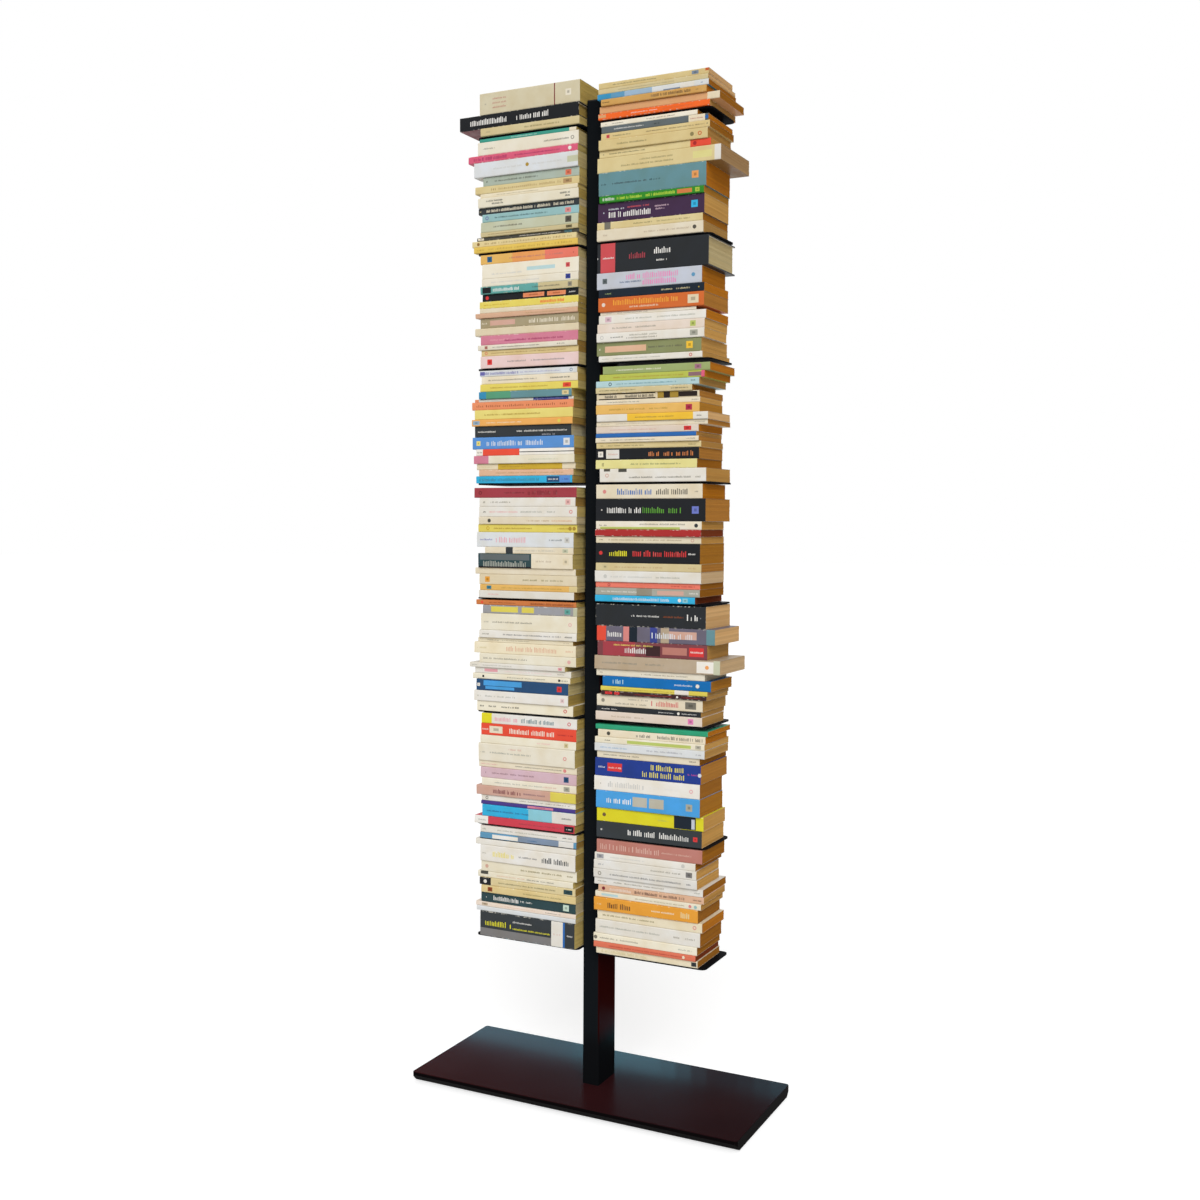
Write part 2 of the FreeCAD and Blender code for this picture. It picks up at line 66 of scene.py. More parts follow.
# Colours of the covers and of the inks on them
COLOURS = {
    # whites and creams
    "snow": "e9e6e0", "chalk": "dfddd8", "pearl": "e2dfd8", "ivory": "e8e2d2", "cream": "e7e1ce",
    "oatmeal": "e4dac4", "buff": "e6dcc2", "straw": "dccb98", "wheat": "dac690", "sand": "cfc298",
    "linen": "dfd3b8", "parchment": "d5c69a", "shell": "e2d4c8", "blush": "e2c8c6", "mist": "d6dade",
    "flax": "d4cbaf",
    # greys and blacks
    "lilac_grey": "c5cad6", "silver": "c6c5c0", "ash": "a6a79c", "celadon": "a9b6ab", "pewter": "9d9ea4",
    "taupe": "b5a48e", "mushroom": "a59a7e", "slate": "5f686c", "lead": "7a797a", "graphite": "4b4b45",
    "charcoal": "34393d", "soot": "282b2f", "black": "1c1e22", "jet": "28201e", "ink_blue": "1a2430",
    "light_grey": "b4b1a4", "warm_grey": "918c7e", "mid_grey": "77746a", "dark_grey": "56534b",
    # browns
    "sepia": "6c6448", "khaki": "8a8058", "tan": "b5956c", "coffee": "6f5a3e", "caramel": "8f6c3c",
    "russet": "8c4a2a", "cocoa": "4a3028", "umber": "3a2426", "puce": "8a6a72",
    # leaves, from hardly toned to deeply browned; the deep oranges are partly painted warm light, the rust
    # partly painted shade
    "page_white": "dcd6c3", "page_stone": "d6bc98", "page_cream": "e8c08a", "page_straw": "d8aa60",
    "page_tan": "c49a58", "page_gold": "c47c0c", "page_brown": "a46a08", "page_rust": "7a3404",
    # yellows and oranges
    "primrose": "dfd894", "butter": "e6d880", "citron": "e2d268", "lemon": "ded05e", "canary": "dcd42c",
    "mustard": "c8a83a", "ochre": "a88a3a", "sunflower": "ecc040", "maize": "e3c360", "amber": "e5b868",
    "honey": "cda05c", "marigold": "e6a03c", "apricot": "eeb062", "papaya": "eaa262", "orange": "d07e48",
    "tangerine": "f06a2c", "copper": "d06c36", "coral": "e48f66", "rust": "c8643a", "terracotta": "b67a70",
    # reds and pinks
    "vermilion": "e2503c", "flame": "d8745a", "scarlet": "d43c3c", "crimson": "cc4454",
    "cardinal": "cc5258", "cherry": "b03250", "brick": "a63030", "wine": "a0404a", "maroon": "7a2c34",
    "plum": "7a4248", "salmon": "ea7e6c", "melon": "d6a274", "peach": "dab296", "nude": "d0a89a",
    "rose": "d88a88", "powder": "e0b0ae", "bubblegum": "e0a2ac", "pink": "d9607f", "dusty_pink": "d2829a",
    "orchid": "e080b4", "magenta": "c0448a", "mauve": "a87890", "berry": "9c3460",
    # blues and violets
    "navy": "2a4c74", "royal": "243c8c", "indigo": "3c4690", "cobalt": "2f68b0", "azure": "166cb4",
    "marine": "2f6490", "cerulean": "3a92c2", "sky": "4a9cdc", "bright_sky": "38b0e0",
    "cornflower": "5a90d4", "denim": "5f96ba", "robin": "8cc8d8", "steel": "7f90a8",
    "powder_blue": "9ab4cc", "aegean": "3f7f98", "petrol": "4f7680", "periwinkle": "6c78c4",
    "iris": "6a68a8", "violet": "4a3c86", "lavender": "9894b8", "lilac": "d2b4c0", "heather": "6a6678",
    "aubergine": "402c48",
    # greens
    "teal": "3f9a8c", "sea": "64a8a4", "lagoon": "67919a", "duck_egg": "94bcc0", "ice": "b6d4da",
    "mint": "c8e0d6", "jade": "5a9e7e", "emerald": "32a07a", "green": "35892c", "apple": "5a9a34",
    "acid_green": "c4dc48", "grass": "aac44a", "lime": "b6be58", "leaf": "9eae74", "moss": "868c62",
    "bottle": "2f474c", "sage": "c2c6ae", "pistachio": "b6c46c",
}

# One line per book, from the top of its stack down; an indented line goes on with the one above. First is
# the cover's colour, or colours from left to right, and then its print: a kind, its places and its colour.
# Places are percent of the spine's length from its left end, heights percent of the book's thickness from
# below, and several places before one colour are as many prints of that kind.
# - "words", "title" and "caps" are lines of small, large and widely spaced type marks from one place to
#   another, and may add the height of their line.
# - "patch" is a field of colour from one place to another, and may add its lower and upper edge.
# - "label" is a short field clear of both edges with a darker mark in it, "dot" and "ring" a round mark.
# - "hard" is a book in boards, "under" its lower board's colour and "pages" the colour of its leaves.
# On right_2's sixth book, "under caramel" is painted shade on the underside of its cover.
LOOKS = """
left_1:
flax; words 13 27 terracotta 30; words 13 27 terracotta 50; words 13 27 terracotta 70;
  patch 74.8 75.8 maroon; label 86 91.5 ivory; words 5 6.5 warm_grey
black; hard; under maroon; title 9 41 47 76 snow
parchment; words 45 80 khaki; words 5 10 mushroom
left_2:
teal; words 33 60 mint; patch 93 100 oatmeal
ivory; words 5 18 warm_grey; words 66 90 mid_grey; ring 94 warm_grey
pink; title 4 37 berry; words 43 84 berry; dot 93 snow
mist; words 19 47 57 85 silver; dot 52 ochre; patch 90 100 sage 30 70
celadon; words 12 58 3 5 graphite; label 86 92 flame
straw; caps 15 82 caramel; label 85 93 tan
buff; words 17 60 mushroom
cream; words 8 25 charcoal 65; words 14 25 charcoal 35; words 82 92 charcoal 65; words 86 92 charcoal 35
charcoal; title 8 72 75 95 buff; words 1 3 sand
duck_egg; words 13 50 50 68 bottle; label 86 92 rose; ring 5 iris
sage; words 13 43 dark_grey; label 87 93 dark_grey
sand; words 8 63 caramel; label 88 94 sepia
graphite; words 42 82 ivory; label 86 93 petrol; label 1 7 oatmeal
straw; caps 12 95 caramel; dot 6 caramel
maize; caps 3 95 ochre
left_3:
amber>papaya>salmon; label 7 12 marine; words 30 85 terracotta; words 94 96 maroon
ivory; patch 47 76 ice 35 60; label 87 91 cardinal; words 10 42 silver 30
ivory; label 87 92 indigo; words 10 60 silver
sea; patch 60 100 sand; patch 2 11 black 10 90; title 13 40 snow; words 54 82 graphite;
  label 90 94 warm_grey
black; dot 5 scarlet; label 43 65 68 87 coral; words 90 97 snow; words 45 63 70 85 rust
citron; title 62 86 vermilion; words 4 30 mustard
oatmeal; words 45 85 sand
peach; words 50 90 tan; words 20 35 peach
mushroom; patch 10 36 nude 25 75; title 50 97 oatmeal; words 1 7 oatmeal
linen
dusty_pink; words 9 30 bubblegum; words 25 85 berry 40
ivory; label 7 10 terracotta; words 15 63 80 88 dark_grey
wheat; ring 5 flame; words 10 88 caramel
blush; label 7 12 scarlet; words 28 47 52 86 93 94 lead
left_4:
mist; title 4 40 iris; words 42 83 lavender; ring 94 steel; patch 0 5 iris 20 80
oatmeal; words 7 58 warm_grey; words 72 92 graphite
citron; words 10 70 ochre; label 85 93 vermilion
lagoon; patch 0 8 cerulean; patch 8 35 jade; label 90 97 straw
pearl; patch 60 95 indigo; patch 0 4 coral; words 62 90 lavender
coral; caps 4 95 russet
butter; words 10 68 ochre
apricot; label 1 8 powder_blue; words 15 50 buff; dot 87 lemon
charcoal; words 3 23 44 96 pearl; words 70 83 pewter 15
cornflower; label 4 8 butter; title 14 50 53 70 mist; label 90 96 mist
snow; patch 7 45 vermilion; patch 45 100 soot 42 55; words 1 6 dark_grey
cream; patch 0 15 dusty_pink; words 55 84 sage
linen; patch 22 87 mustard; words 25 50 ochre; words 2 16 sand
peach; words 18 90 tan
bright_sky; title 3 66 aegean; patch 74 87 navy 10 90; words 75.5 85.5 snow; patch 87 98 cornflower;
  words 90 96 indigo
left_5:
wine; words 30 50 maroon; title 53 83 maroon; ring 6 maroon
pearl; words 2 7 11 33 warm_grey; label 90 95 powder
pearl; words 4 7 mid_grey; words 10 40 powder; words 43 65 70 78 ash; ring 94 rose
oatmeal; dot 11 graphite; words 49 73 tan; words 75 95 melon
citron; ring 10 mustard; words 16 55 80 92 ochre; dot 93 97 ochre
mist; words 3 16 iris; title 18 52 bubblegum; words 75 88 slate; label 91 96 silver
oatmeal; patch 24 32 charcoal; words 35 80 light_grey; label 88 94 sage
oatmeal; patch 0 57 bottle; patch 2 55 slate 55 95; title 5 52 ash 30; patch 0 57 black 0 12;
  words 60 78 taupe; label 90 96 linen
oatmeal; words 80 95 linen
linen; label 6 11 marigold; words 45 60 64 86 khaki
amber; label 7 12 aegean; words 22 85 ochre; patch 92 100 straw
pearl; words 10 22 powder
left_6:
orange; words 13 40 russet; title 55 97 russet; dot 6 vermilion
pewter; patch 9 38 42 55 lemon 20 85; label 87 93 sea; words 3 5 slate; patch 96 100 sage
cream; words 3 8 light_grey; words 12 54 warm_grey; ring 93 powder
pearl; words 3 10 warm_grey; words 25 85 lead; words 88 96 graphite
buff; words 10 22 mid_grey; words 26 55 mushroom; words 90 96 taupe
buff; title 32 82 peach; words 2 12 sand; words 90 97 peach
cream; words 4 50 warm_grey; dot 93 powder
pearl; words 2 8 14 45 ash; label 93 97 bubblegum
pearl; patch 10 24 bubblegum 30 80; words 30 80 blush; words 86 93 warm_grey
cream; label 10 12 88 90 soot; words 36 75 mid_grey; words 90 98 charcoal
navy; patch 8 50 sky 45 90; patch 10 42 sky 15 40; label 88 93 scarlet; label 1 4 snow
snow; words 3 7 light_grey; words 12 44 ash; label 92 96 blush
cream; words 3 7 12 20 26 44 graphite; ring 92 cardinal
left_7:
chalk; patch 0 11 canary; title 14 38 bubblegum; title 42 77 petrol; ring 92 cardinal
vermilion; label 9 23 oatmeal; title 30 78 ivory; words 1 8 shell; words 80 97 brick
cream; words 60 75 powder; label 88 92 sand
ivory; words 2 7 light_grey; words 12 55 ash; words 32 45 nude 75; ring 90 rose
oatmeal; words 2 20 powder; words 38 85 warm_grey; dot 88 rose
lilac; words 5 6 12 56 puce; label 87 92 navy
ivory; words 14 65 ash; words 65 80 nude; label 87 93 ash
nude; title 17 45 plum; words 48 70 puce; patch 75 100 lemon
pearl; ring 6 mid_grey; words 41 90 warm_grey; words 92 94 mid_grey
violet; label 50 77 dusty_pink
bright_sky>bright_sky>robin>chalk; words 5 50 marine; words 85 95 lead
crimson; patch 0 14 snow; words 3 12 ash; words 45 88 wine; patch 90 99 black 15 85; words 92 97 snow
left_8:
pearl; words 2 6 18 80 ash; words 86 95 charcoal
denim; patch 13 40 snow 20 80; patch 40 82 steel; patch 82 97 chalk; words 50 60 marine;
  patch 0 100 black 0 14
pearl
snow; title 13 37 citron; words 40 60 lead; title 65 93 charcoal; words 2 6 light_grey
cream; dot 6 nude; words 42 85 90 96 khaki
cream; patch 3 11 graphite 50 100; words 20 50 peach; words 52 80 dark_grey
parchment; patch 0 12 black; dot 6 pearl; words 20 80 sepia; label 88 97 bottle
wheat; label 7 12 russet; words 45 85 khaki
bottle; words 5 6 chalk; title 13 40 snow; words 42 55 snow; label 87 93 mint
shell; words 25 60 peach; words 70 85 mid_grey; label 6 12 taupe
mist
charcoal; patch 0 100 lead 0 32; title 5 33 canary 55; words 35 56 snow 72; words 35 75 canary 45;
  patch 76 88 chalk; words 78 86 nude; patch 88 90 cobalt; patch 90 100 charcoal; words 92 98 chalk
right_1:
wheat; pages page_cream; words 13 53 sepia; label 85 91 steel; patch 97 100 rust 50 100
parchment; pages page_cream; words 18 70 mushroom
cerulean>denim>powder_blue>powder_blue>mist>mist>chalk>mist; pages page_brown; words 93 95 marine;
  patch 60 75 steel 5 25
honey; pages page_gold; title 48 85 cocoa; words 1 8 cocoa; words 90 93 caramel
melon; pages page_brown; words 18 34 45 80 melon; patch 90 100 linen
tangerine; pages page_tan; patch 0 7 melon 30 80; words 30 54 shell; words 58 85 rust
right_2:
ivory; pages page_gold; words 5 6 12 24 dark_grey; words 48 77 mid_grey
slate; pages page_gold; words 12 40 chalk; patch 82 97 oatmeal; words 50 55 charcoal; dot 98.5 cobalt;
  words 83 95 terracotta
wheat; pages page_brown; label 5 8 cardinal; words 11 28 sepia; words 42 95 coffee; words 97 98 bottle
wheat; pages page_tan; words 17 45 khaki; ring 93 rust; dot 86 khaki; ring 9 wheat
straw; patch 82 100 vermilion; words 3 5 dark_grey; words 9 42 sepia; dot 86 brick
straw; words 35 62 khaki 64; words 19 62 khaki 36; patch 78 93 primrose 25 70; patch 95 100 pearl;
  pages tan; under caramel
lagoon; pages page_gold; words 2 7 bottle; words 13 45 charcoal; words 48 58 bottle; label 87 93 papaya
green; title 3 15 snow; title 17 42 45 73 acid_green; patch 75 89 orange 20 80; label 92 96 grass
aubergine; pages page_straw; title 10 50 snow 38; words 28 50 cardinal 70; words 10 25 mist 66;
  words 54 67 lilac 60; words 54 63 lilac 45; label 88 94 bright_sky; label 5 6 lilac_grey
straw; pages page_brown; patch 7 13 mid_grey; words 35 53 57 88 khaki
oatmeal; pages page_tan; words 45 88 5 10 taupe; dot 92 dark_grey
right_3:
soot; hard; pages sand; patch 3 16.5 cardinal; words 5 15.5 snow; title 29 44.5 wine 52;
  title 50 67 snow 62; words 54 64 snow 30; words 0 2 chalk
lilac_grey; pages page_gold; title 28 78 orchid 70; title 44 76 orchid 32; words 22 43 navy 38;
  label 5.5 10 slate; dot 92 denim
ink_blue; pages page_gold; words 6 12 leaf; words 60 71 74 87 parchment; label 94.5 95.5 mustard
copper; title 14 78 marigold 64; words 30 58 linen 26; label 85 95 linen; dot 5 shell
ivory; pages page_rust; words 6 12 light_grey; words 18 50 warm_grey
pearl; pages page_gold; label 6 12 lilac; words 25 50 55 90 ash
shell; pages page_straw; words 14 33 36 56 warm_grey; label 87 92 pistachio
pearl; pages page_straw; ring 5 silver; words 13 25 graphite; words 31 57 warm_grey 65;
  words 28 57 warm_grey 35; label 87 94 ash
moss; pages page_straw; patch 8 48 peach 25 70; words 50 82 dark_grey; label 86 92 sunflower;
  words 2 4 cream
pearl; pages page_straw; words 14 60 ash; ring 89 cardinal; words 3 10 light_grey
right_4:
leaf; pages page_gold; words 12 55 cream; label 86 92 mauve
lime; pages page_gold; words 13 80 ochre; patch 85 97 puce 20 80; patch 97 100 pink
ice; pages page_tan; ring 14 bottle; words 20 78 lagoon; words 92 97 bottle 60
parchment; pages page_brown; words 3 42 sepia; words 78 96 graphite
linen; patch 2 58 jet 0 18; patch 2 58 jet 82 100; title 8 20 28 56 jet; patch 60 80 ochre; patch 66 72 jet;
  patch 80 98 jet 10 90
oatmeal; pages page_straw; words 10 42 92 99 mid_grey
amber; words 13 48 52 70 ochre; label 87 93 cherry
pearl; pages page_cream; patch 28 87 sunflower; words 35 70 ochre; words 90 95 dark_grey
oatmeal; words 4 12 light_grey; words 17 45 taupe; words 88 97 warm_grey
shell; pages page_gold; words 14 60 nude; label 86 93 scarlet
cobalt; pages page_straw
oatmeal; words 5 10 warm_grey; words 14 58 dark_grey; words 88 97 charcoal
straw; words 4 7 10 46 88 95 khaki
black; patch 10 23 chalk 10 90; words 12 22 nude; title 50 63 66 75 78 95 orange; label 2 7 snow
primrose; pages page_brown; title 6 8 sepia; words 35 85 moss
pearl; patch 4 10 dark_grey 80 100; patch 18 26 graphite 75 100; words 28 50 52 86 mid_grey 35; ring 7 nude;
  words 90 95 warm_grey 35
right_5:
oatmeal; pages page_gold; title 20 53 cobalt; title 57 87 dark_grey; dot 8 rose; words 92 96 warm_grey
black; title 10 42 snow; title 43 78 apple; label 88 94 periwinkle; label 5 6 snow
ivory; patch 4 80 pistachio 0 30; words 42 85 mid_grey 65; words 3 10 mid_grey; dot 95 charcoal
brick; pages page_rust
buff; words 3 7 khaki; words 12 82 mushroom; ring 92 nude
black; dot 5 scarlet; title 13 31 canary; title 34 87 scarlet; words 89 96 snow
parchment; words 18 65 87 95 tan; label 6 12 sand
chalk; pages page_stone; words 15 55 silver; words 58 80 ash; dot 10 silver
salmon; pages page_brown; ring 13 wine; words 30 70 flame; words 73 95 brick
ash; pages page_brown; patch 60 85 nude 20 75; words 5 40 90 98 pearl; patch 40 55 warm_grey
bright_sky; pages page_rust; title 18 75 mist; dot 85 snow; label 88 93 robin
right_6:
soot; pages page_cream; words 33 59 chalk; words 62 80 russet; title 83 93 snow; words 95 96 pewter
heather; pages page_cream; patch 0 8 vermilion; title 9 23 snow; patch 23 28 rose; patch 28 35 ink_blue;
  patch 35 46 heather; patch 46 52 indigo; patch 55 62 taupe; patch 62 85 nude 30 80; title 47 83 mist;
  patch 93 100 lagoon
plum; pages page_tan; patch 5 35 wine; words 15 52 citron 78; title 25 46 chalk 45; patch 45 58 umber 10 80;
  patch 60 82 terracotta 25 75; patch 84 97 scarlet 20 80; words 85 96 snow
taupe; pages page_stone; words 6 35 40 56 warm_grey; patch 82 95 snow 10 90; dot 90 papaya;
  patch 95 100 sage
ivory; pages page_white; words 42 85 3 6 warm_grey
azure; title 8 20 ice; words 67 83 mist; dot 88 snow
lemon; pages page_tan; words 10 70 ochre; patch 70 83 snow
umber; pages page_tan; label 4 11 13 18 scarlet; words 33 68 77 95 brick; dot 73 snow
oatmeal; pages page_tan; title 52 78 cardinal; words 18 48 warm_grey 30; words 30 50 warm_grey 70;
  label 84 94 mid_grey; dot 6 warm_grey
soot; pages page_tan; words 5 13 14 20 snow; words 60 75 82 96 chalk; dot 79 snow
shell; pages page_tan; words 15 34 37 46 taupe; label 87 92 orchid
right_7:
emerald; pages page_gold
oatmeal; pages page_gold; dot 10 graphite; title 36 50 55 98 dark_grey
cream; pages page_straw; patch 30 88 pistachio 20 70; words 9 15 dark_grey; label 92 97 light_grey
mist; pages page_tan; words 5 30 powder_blue; words 48 80 92 97 pewter
oatmeal; pages page_brown; words 6 42 mid_grey; words 90 97 dark_grey
royal; patch 12 26 scarlet 30 75; words 13 25 blush; title 53 85 lemon 72; title 45 85 lemon 32;
  words 88 97 magenta; words 3 10 mist; dot 99 mist
snow; title 13 48 silver; words 53 80 chalk; ring 92 bubblegum; words 5 7 warm_grey
sky; title 10 34 snow; patch 36 50 52 66 light_grey 25 80; label 87 93 ash; words 5 6 marine
canary; pages page_straw; patch 73 93 ink_blue 5 95; patch 89 92 lilac_grey 10 80; words 58 68 lime;
  dot 7 coffee
charcoal; pages page_straw; title 30 57 60 88 chalk; label 92 96 scarlet; label 4 5.5 silver
right_8:
terracotta; pages page_brown; title 3 20 20 60 nude; words 62 90 nude
pearl; pages page_brown; label 2 9 pewter; words 15 50 silver; dot 88 silver
chalk; pages page_straw; words 4 10 pewter; words 55 85 warm_grey; label 90 96 lead
chalk; pages page_straw; ring 6 warm_grey; words 16 86 90 94 lead
chalk; pages page_brown; words 3 12 18 65 warm_grey; words 92 97 ash
peach; dot 5 maroon; title 10 32 shell; title 35 82 cocoa; words 90 98 cocoa
cream; patch 6 22 ice 30 70; words 38 85 mushroom; dot 90 rose; dot 95 duck_egg
marigold; title 13 36 cocoa; words 56 78 buff; title 80 93 straw; words 3 7 straw
buff; pages page_gold; words 5 55 khaki; ring 93 rose
pearl; pages page_brown; words 4 62 ash; words 75 81 86 95 warm_grey
cream; pages page_brown; dot 2 mid_grey; words 6 44 warm_grey; words 82 95 ash
flame; pages page_rust; words 15 88 brick; dot 88.5 oatmeal
buff; title 5 50 sand; label 94 99 charcoal
"""

# Leaves of books whose line names none, by side: yellowed, with painted greenish shade on the left and
# painted warm light on the right
PAGE_COLOURS = {
    "left": ("dfcd84", "d6c67e", "e0d49e", "cfba6c", "d9cb88", "c4ad62", "e4dab4", "b3944f"),
    "right": ("bc8438", "b47c22", "c08a2e", "cf9e52", "a87020", "c89a52"),
}
CARD_CORE = "e8e2d2"
# Rims take the leaves' colour, or the boards' on books in boards, darkened by this: painted shade between
# the books
RIM_PAINTED_SHADE = 0.55
COVER_TONES = (0.95, 1.03)
LEAF_TONES = (0.9, 1.06)
EDGE_WEAR = (0.5, 1.0)

# Stacks; corners are on one level when their heights agree to a hundredth of a millimetre
LEVEL_DIGITS = 5
SAME_LEVEL = 1e-5
SHELF_PLAY = 1.2 * MM
LOOSE_STACKS = ("left_5", "right_4", "right_7")
BOOK_TURN = math.radians(0.5)
SPINE_LEAN = 0.6 * MM
BULGE_SPREAD = (0.7, 1.3)

# Covers: "card" is the thickness, "fold" the radius at the spine, "bulge" how far the spine stands forward
# and "square" how far the cover stands past its leaves
PAPERBACK = {"card": 0.4 * MM, "fold": 1.1 * MM, "bulge": 0.2 * MM, "square": 0.1 * MM}
IN_BOARDS = {"card": 2.2 * MM, "fold": 0.9 * MM, "bulge": 0.7 * MM, "square": 3.0 * MM}
FOLD_POINTS = 3
SHARP_ANGLE = math.radians(35)
FOLD_SHARE = 0.22
LEAST_FOLD = 0.1 * MM
LEAST_STRIP = 0.1 * MM
SCUFF_REACH = 1.2 * MM
SCUFF_ON_SPINE = 0.7 * SCUFF_REACH

# Leaves, in sections of folded sheets
SECTION_THICK = 2.4 * MM
SECTION_GAP = 0.02 * MM
LEAF_ROWS = 8
LEAF_COLUMNS = (5, 4)
LEAF_ROUGHNESS = 0.16 * MM
LEAF_PLAY = 0.03 * MM
GLUE_ROOM = 0.9 * MM
TRIM_SPREAD = 0.3 * MM

# Print: half of a label's greatest height, and the size and shade of the mark in it
INK_THICK = 0.05 * MM
HALF_LABEL = 0.3
LABEL_MARK = 0.4
LABEL_SHADE = 0.6
# Round marks: radius as a share of the book's thickness and at most, depth in the card, and a ring's hole
MARK_SIDES = 14
MARK_SHARE = 0.27
MARK_RADIUS = 3.2 * MM
MARK_ROOT = 0.3 * MM
RING_HOLE = 0.62
# Depth of a type mark, and its greatest height as a share of the thickness, for one line and for several
TYPE_PLATE = 0.5 * MM
TALLEST_TYPE = 0.8
TALLEST_OF_SEVERAL = 0.42
# Share of the book's thickness, least and greatest height, and width and gap as shares of the height
TYPE_SIZES = {
    "words": (0.20, 1.5 * MM, 3.0 * MM, 0.32, 0.20),
    "title": (0.46, 2.6 * MM, 10.0 * MM, 0.20, 0.13),
    "caps": (0.32, 1.8 * MM, 4.0 * MM, 0.34, 0.60),
}
# Place along the book and type height of each line on an upper cover, how much of its depth they take, and
# the marks' step and width as shares of their height
COVER_LINES = [(0.84, 8.0 * MM), (0.77, 4.5 * MM)] + [(0.66 - 0.032 * i, 2.4 * MM) for i in range(12)]
COVER_LINE_REACH = 0.6
COVER_TYPE_STEP = 0.75
COVER_TYPE_WIDTH = 0.5
# A cover whose linear red, green and blue sum to less than this has a light print
DARK_COVER = 1.0


def linear(hex_colour):
    """Linear RGBA of an sRGB hex colour."""
    channels = [int(hex_colour[i:i + 2], 16) / 255 for i in (0, 2, 4)]
    return tuple(c / 12.92 if c <= 0.04045 else ((c + 0.055) / 1.055) ** 2.4 for c in channels) + (1.0,)


def shade(colour, factor):
    return tuple(min(1.0, c * factor) for c in colour[:3]) + (1.0,)


def new_object(name, data):
    thing = bpy.data.objects.new(name, data)
    bpy.context.scene.collection.objects.link(thing)
    return thing


# Node trees


def out(node, name=None):
    """The node's output of that name, or the first one in use."""
    return next(socket for socket in node.outputs if socket.enabled and name in (None, socket.name))


def add(tree, kind, inputs=(), **settings):
    """Add a node with its settings. Inputs come by name, or as a list in the order of those in use. Each is
    a value, the socket that feeds it, or the node whose first output does."""
    node = tree.nodes.new(kind)
    for name, value in settings.items():
        setattr(node, name, value)
    sockets = [socket for socket in node.inputs if socket.enabled]
    if isinstance(inputs, dict):
        sockets = [next(socket for socket in sockets if socket.name == name) for name in inputs]
        inputs = inputs.values()
    for socket, value in zip(sockets, inputs):
        if isinstance(value, bpy.types.Node):
            value = out(value)
        if isinstance(value, bpy.types.NodeSocket):
            tree.links.new(value, socket)
        else:
            socket.default_value = value
    return node


# Materials. The lists are place, scale and detail of a noise, share, first and second of a mix, and value,
# from low and high, to low and high of a range.


def new_material(name):
    """Empty material, its tree and the place on the piece that its patterns are drawn by."""
    material = bpy.data.materials.new(name)
    material.use_nodes = True
    tree = material.node_tree
    tree.nodes.clear()
    return material, tree, out(add(tree, "ShaderNodeTexCoord"), "Object")


def finish_material(tree, **values):
    """Give the tree its surface; a value that is the same all over goes on the shader's own socket."""
    surface = add(tree, "ShaderNodeBsdfPrincipled", {key.replace("_", " "): v for key, v in values.items()})
    add(tree, "ShaderNodeOutputMaterial", {"Surface": surface})


def powder_coated_steel(name, first, second, start=-0.3, end=0.2, spread=0.35, rough=0.27, gloss=0.002,
                        foot=None):
    """Polyester powder, sprayed and baked: near-black, low sheen, fine orange peel, faint smudges and
    painted reflection.
    """
    material, tree, place = new_material(name)
    spot = add(tree, "ShaderNodeSeparateXYZ", [place])
    clouds = add(tree, "ShaderNodeTexNoise", [place, 1 / (140 * MM), 1.0])
    smudge = add(tree, "ShaderNodeMapRange", [clouds, 0.2, 0.8, 0.4, 0.6])
    # A tint drifting across the piece is painted reflection: lighter left on the base, red on the post's
    # right side.
    tint_and_reflection_drift = add(tree, "ShaderNodeMapRange", [out(spot, "X"), start, end, spread, -spread])
    share = add(tree, "ShaderNodeMath", [smudge, tint_and_reflection_drift], operation="ADD", use_clamp=True)
    colour = add(tree, "ShaderNodeMix", [share, linear(first), linear(second)], data_type="RGBA")
    if foot:
        # Below a height, painted shade replaces the painted reflection: on a plate's upright edges, and
        # where the post meets it.
        black, low, high = foot
        tinted = add(tree, "ShaderNodeMapRange", [out(spot, "Z"), low, high, 0, 1])
        colour = add(tree, "ShaderNodeMix", [tinted, linear(black), colour], data_type="RGBA")
    sheen = add(tree, "ShaderNodeMapRange", [smudge, 0.4, 0.6, rough, rough + 0.04])
    peel = add(tree, "ShaderNodeTexNoise", [place, 1 / (1.6 * MM), 1.0])
    relief = add(tree, "ShaderNodeBump", {"Height": peel, "Distance": 0.03 * MM})
    finish_material(tree, Base_Color=colour, Roughness=sheen, Normal=relief, Specular_IOR_Level=gloss)
    return material


def bare_steel():
    """Hot-rolled plate, cut and left bare: dark mill scale with a dull sheen and rust-brown clouds."""
    material, tree, place = new_material("mild_steel_plate")
    clouds = add(tree, "ShaderNodeTexNoise", [place, 1 / (35 * MM), 5.0])
    rust = add(tree, "ShaderNodeMapRange", [clouds, 0.4, 0.7, 0, 1])
    colour = add(tree, "ShaderNodeMix", [rust, linear("4a4a4c"), linear("5c4a40")], data_type="RGBA")
    sheen = add(tree, "ShaderNodeMapRange", [clouds, 0.3, 0.7, 0.42, 0.62])
    scale = add(tree, "ShaderNodeTexNoise", [place, 1 / (0.9 * MM)])
    relief = add(tree, "ShaderNodeBump", {"Height": scale, "Distance": 0.05 * MM})
    finish_material(tree, Base_Color=colour, Metallic=0.7, Roughness=sheen, Normal=relief)
    return material


def zinc_plate():
    """Bright zinc plating on screws: cool silver with a slightly blotchy passivation."""
    material, tree, place = new_material("zinc_plated_steel")
    blotch = add(tree, "ShaderNodeTexNoise", [place, 1 / (3 * MM), 3.0])
    colour = add(tree, "ShaderNodeMix", [blotch, linear("b9bdc2"), linear("9fa29c")], data_type="RGBA")
    sheen = add(tree, "ShaderNodeMapRange", [blotch, 0.3, 0.7, 0.24, 0.38])
    finish_material(tree, Base_Color=colour, Metallic=1.0, Roughness=sheen)
    return material


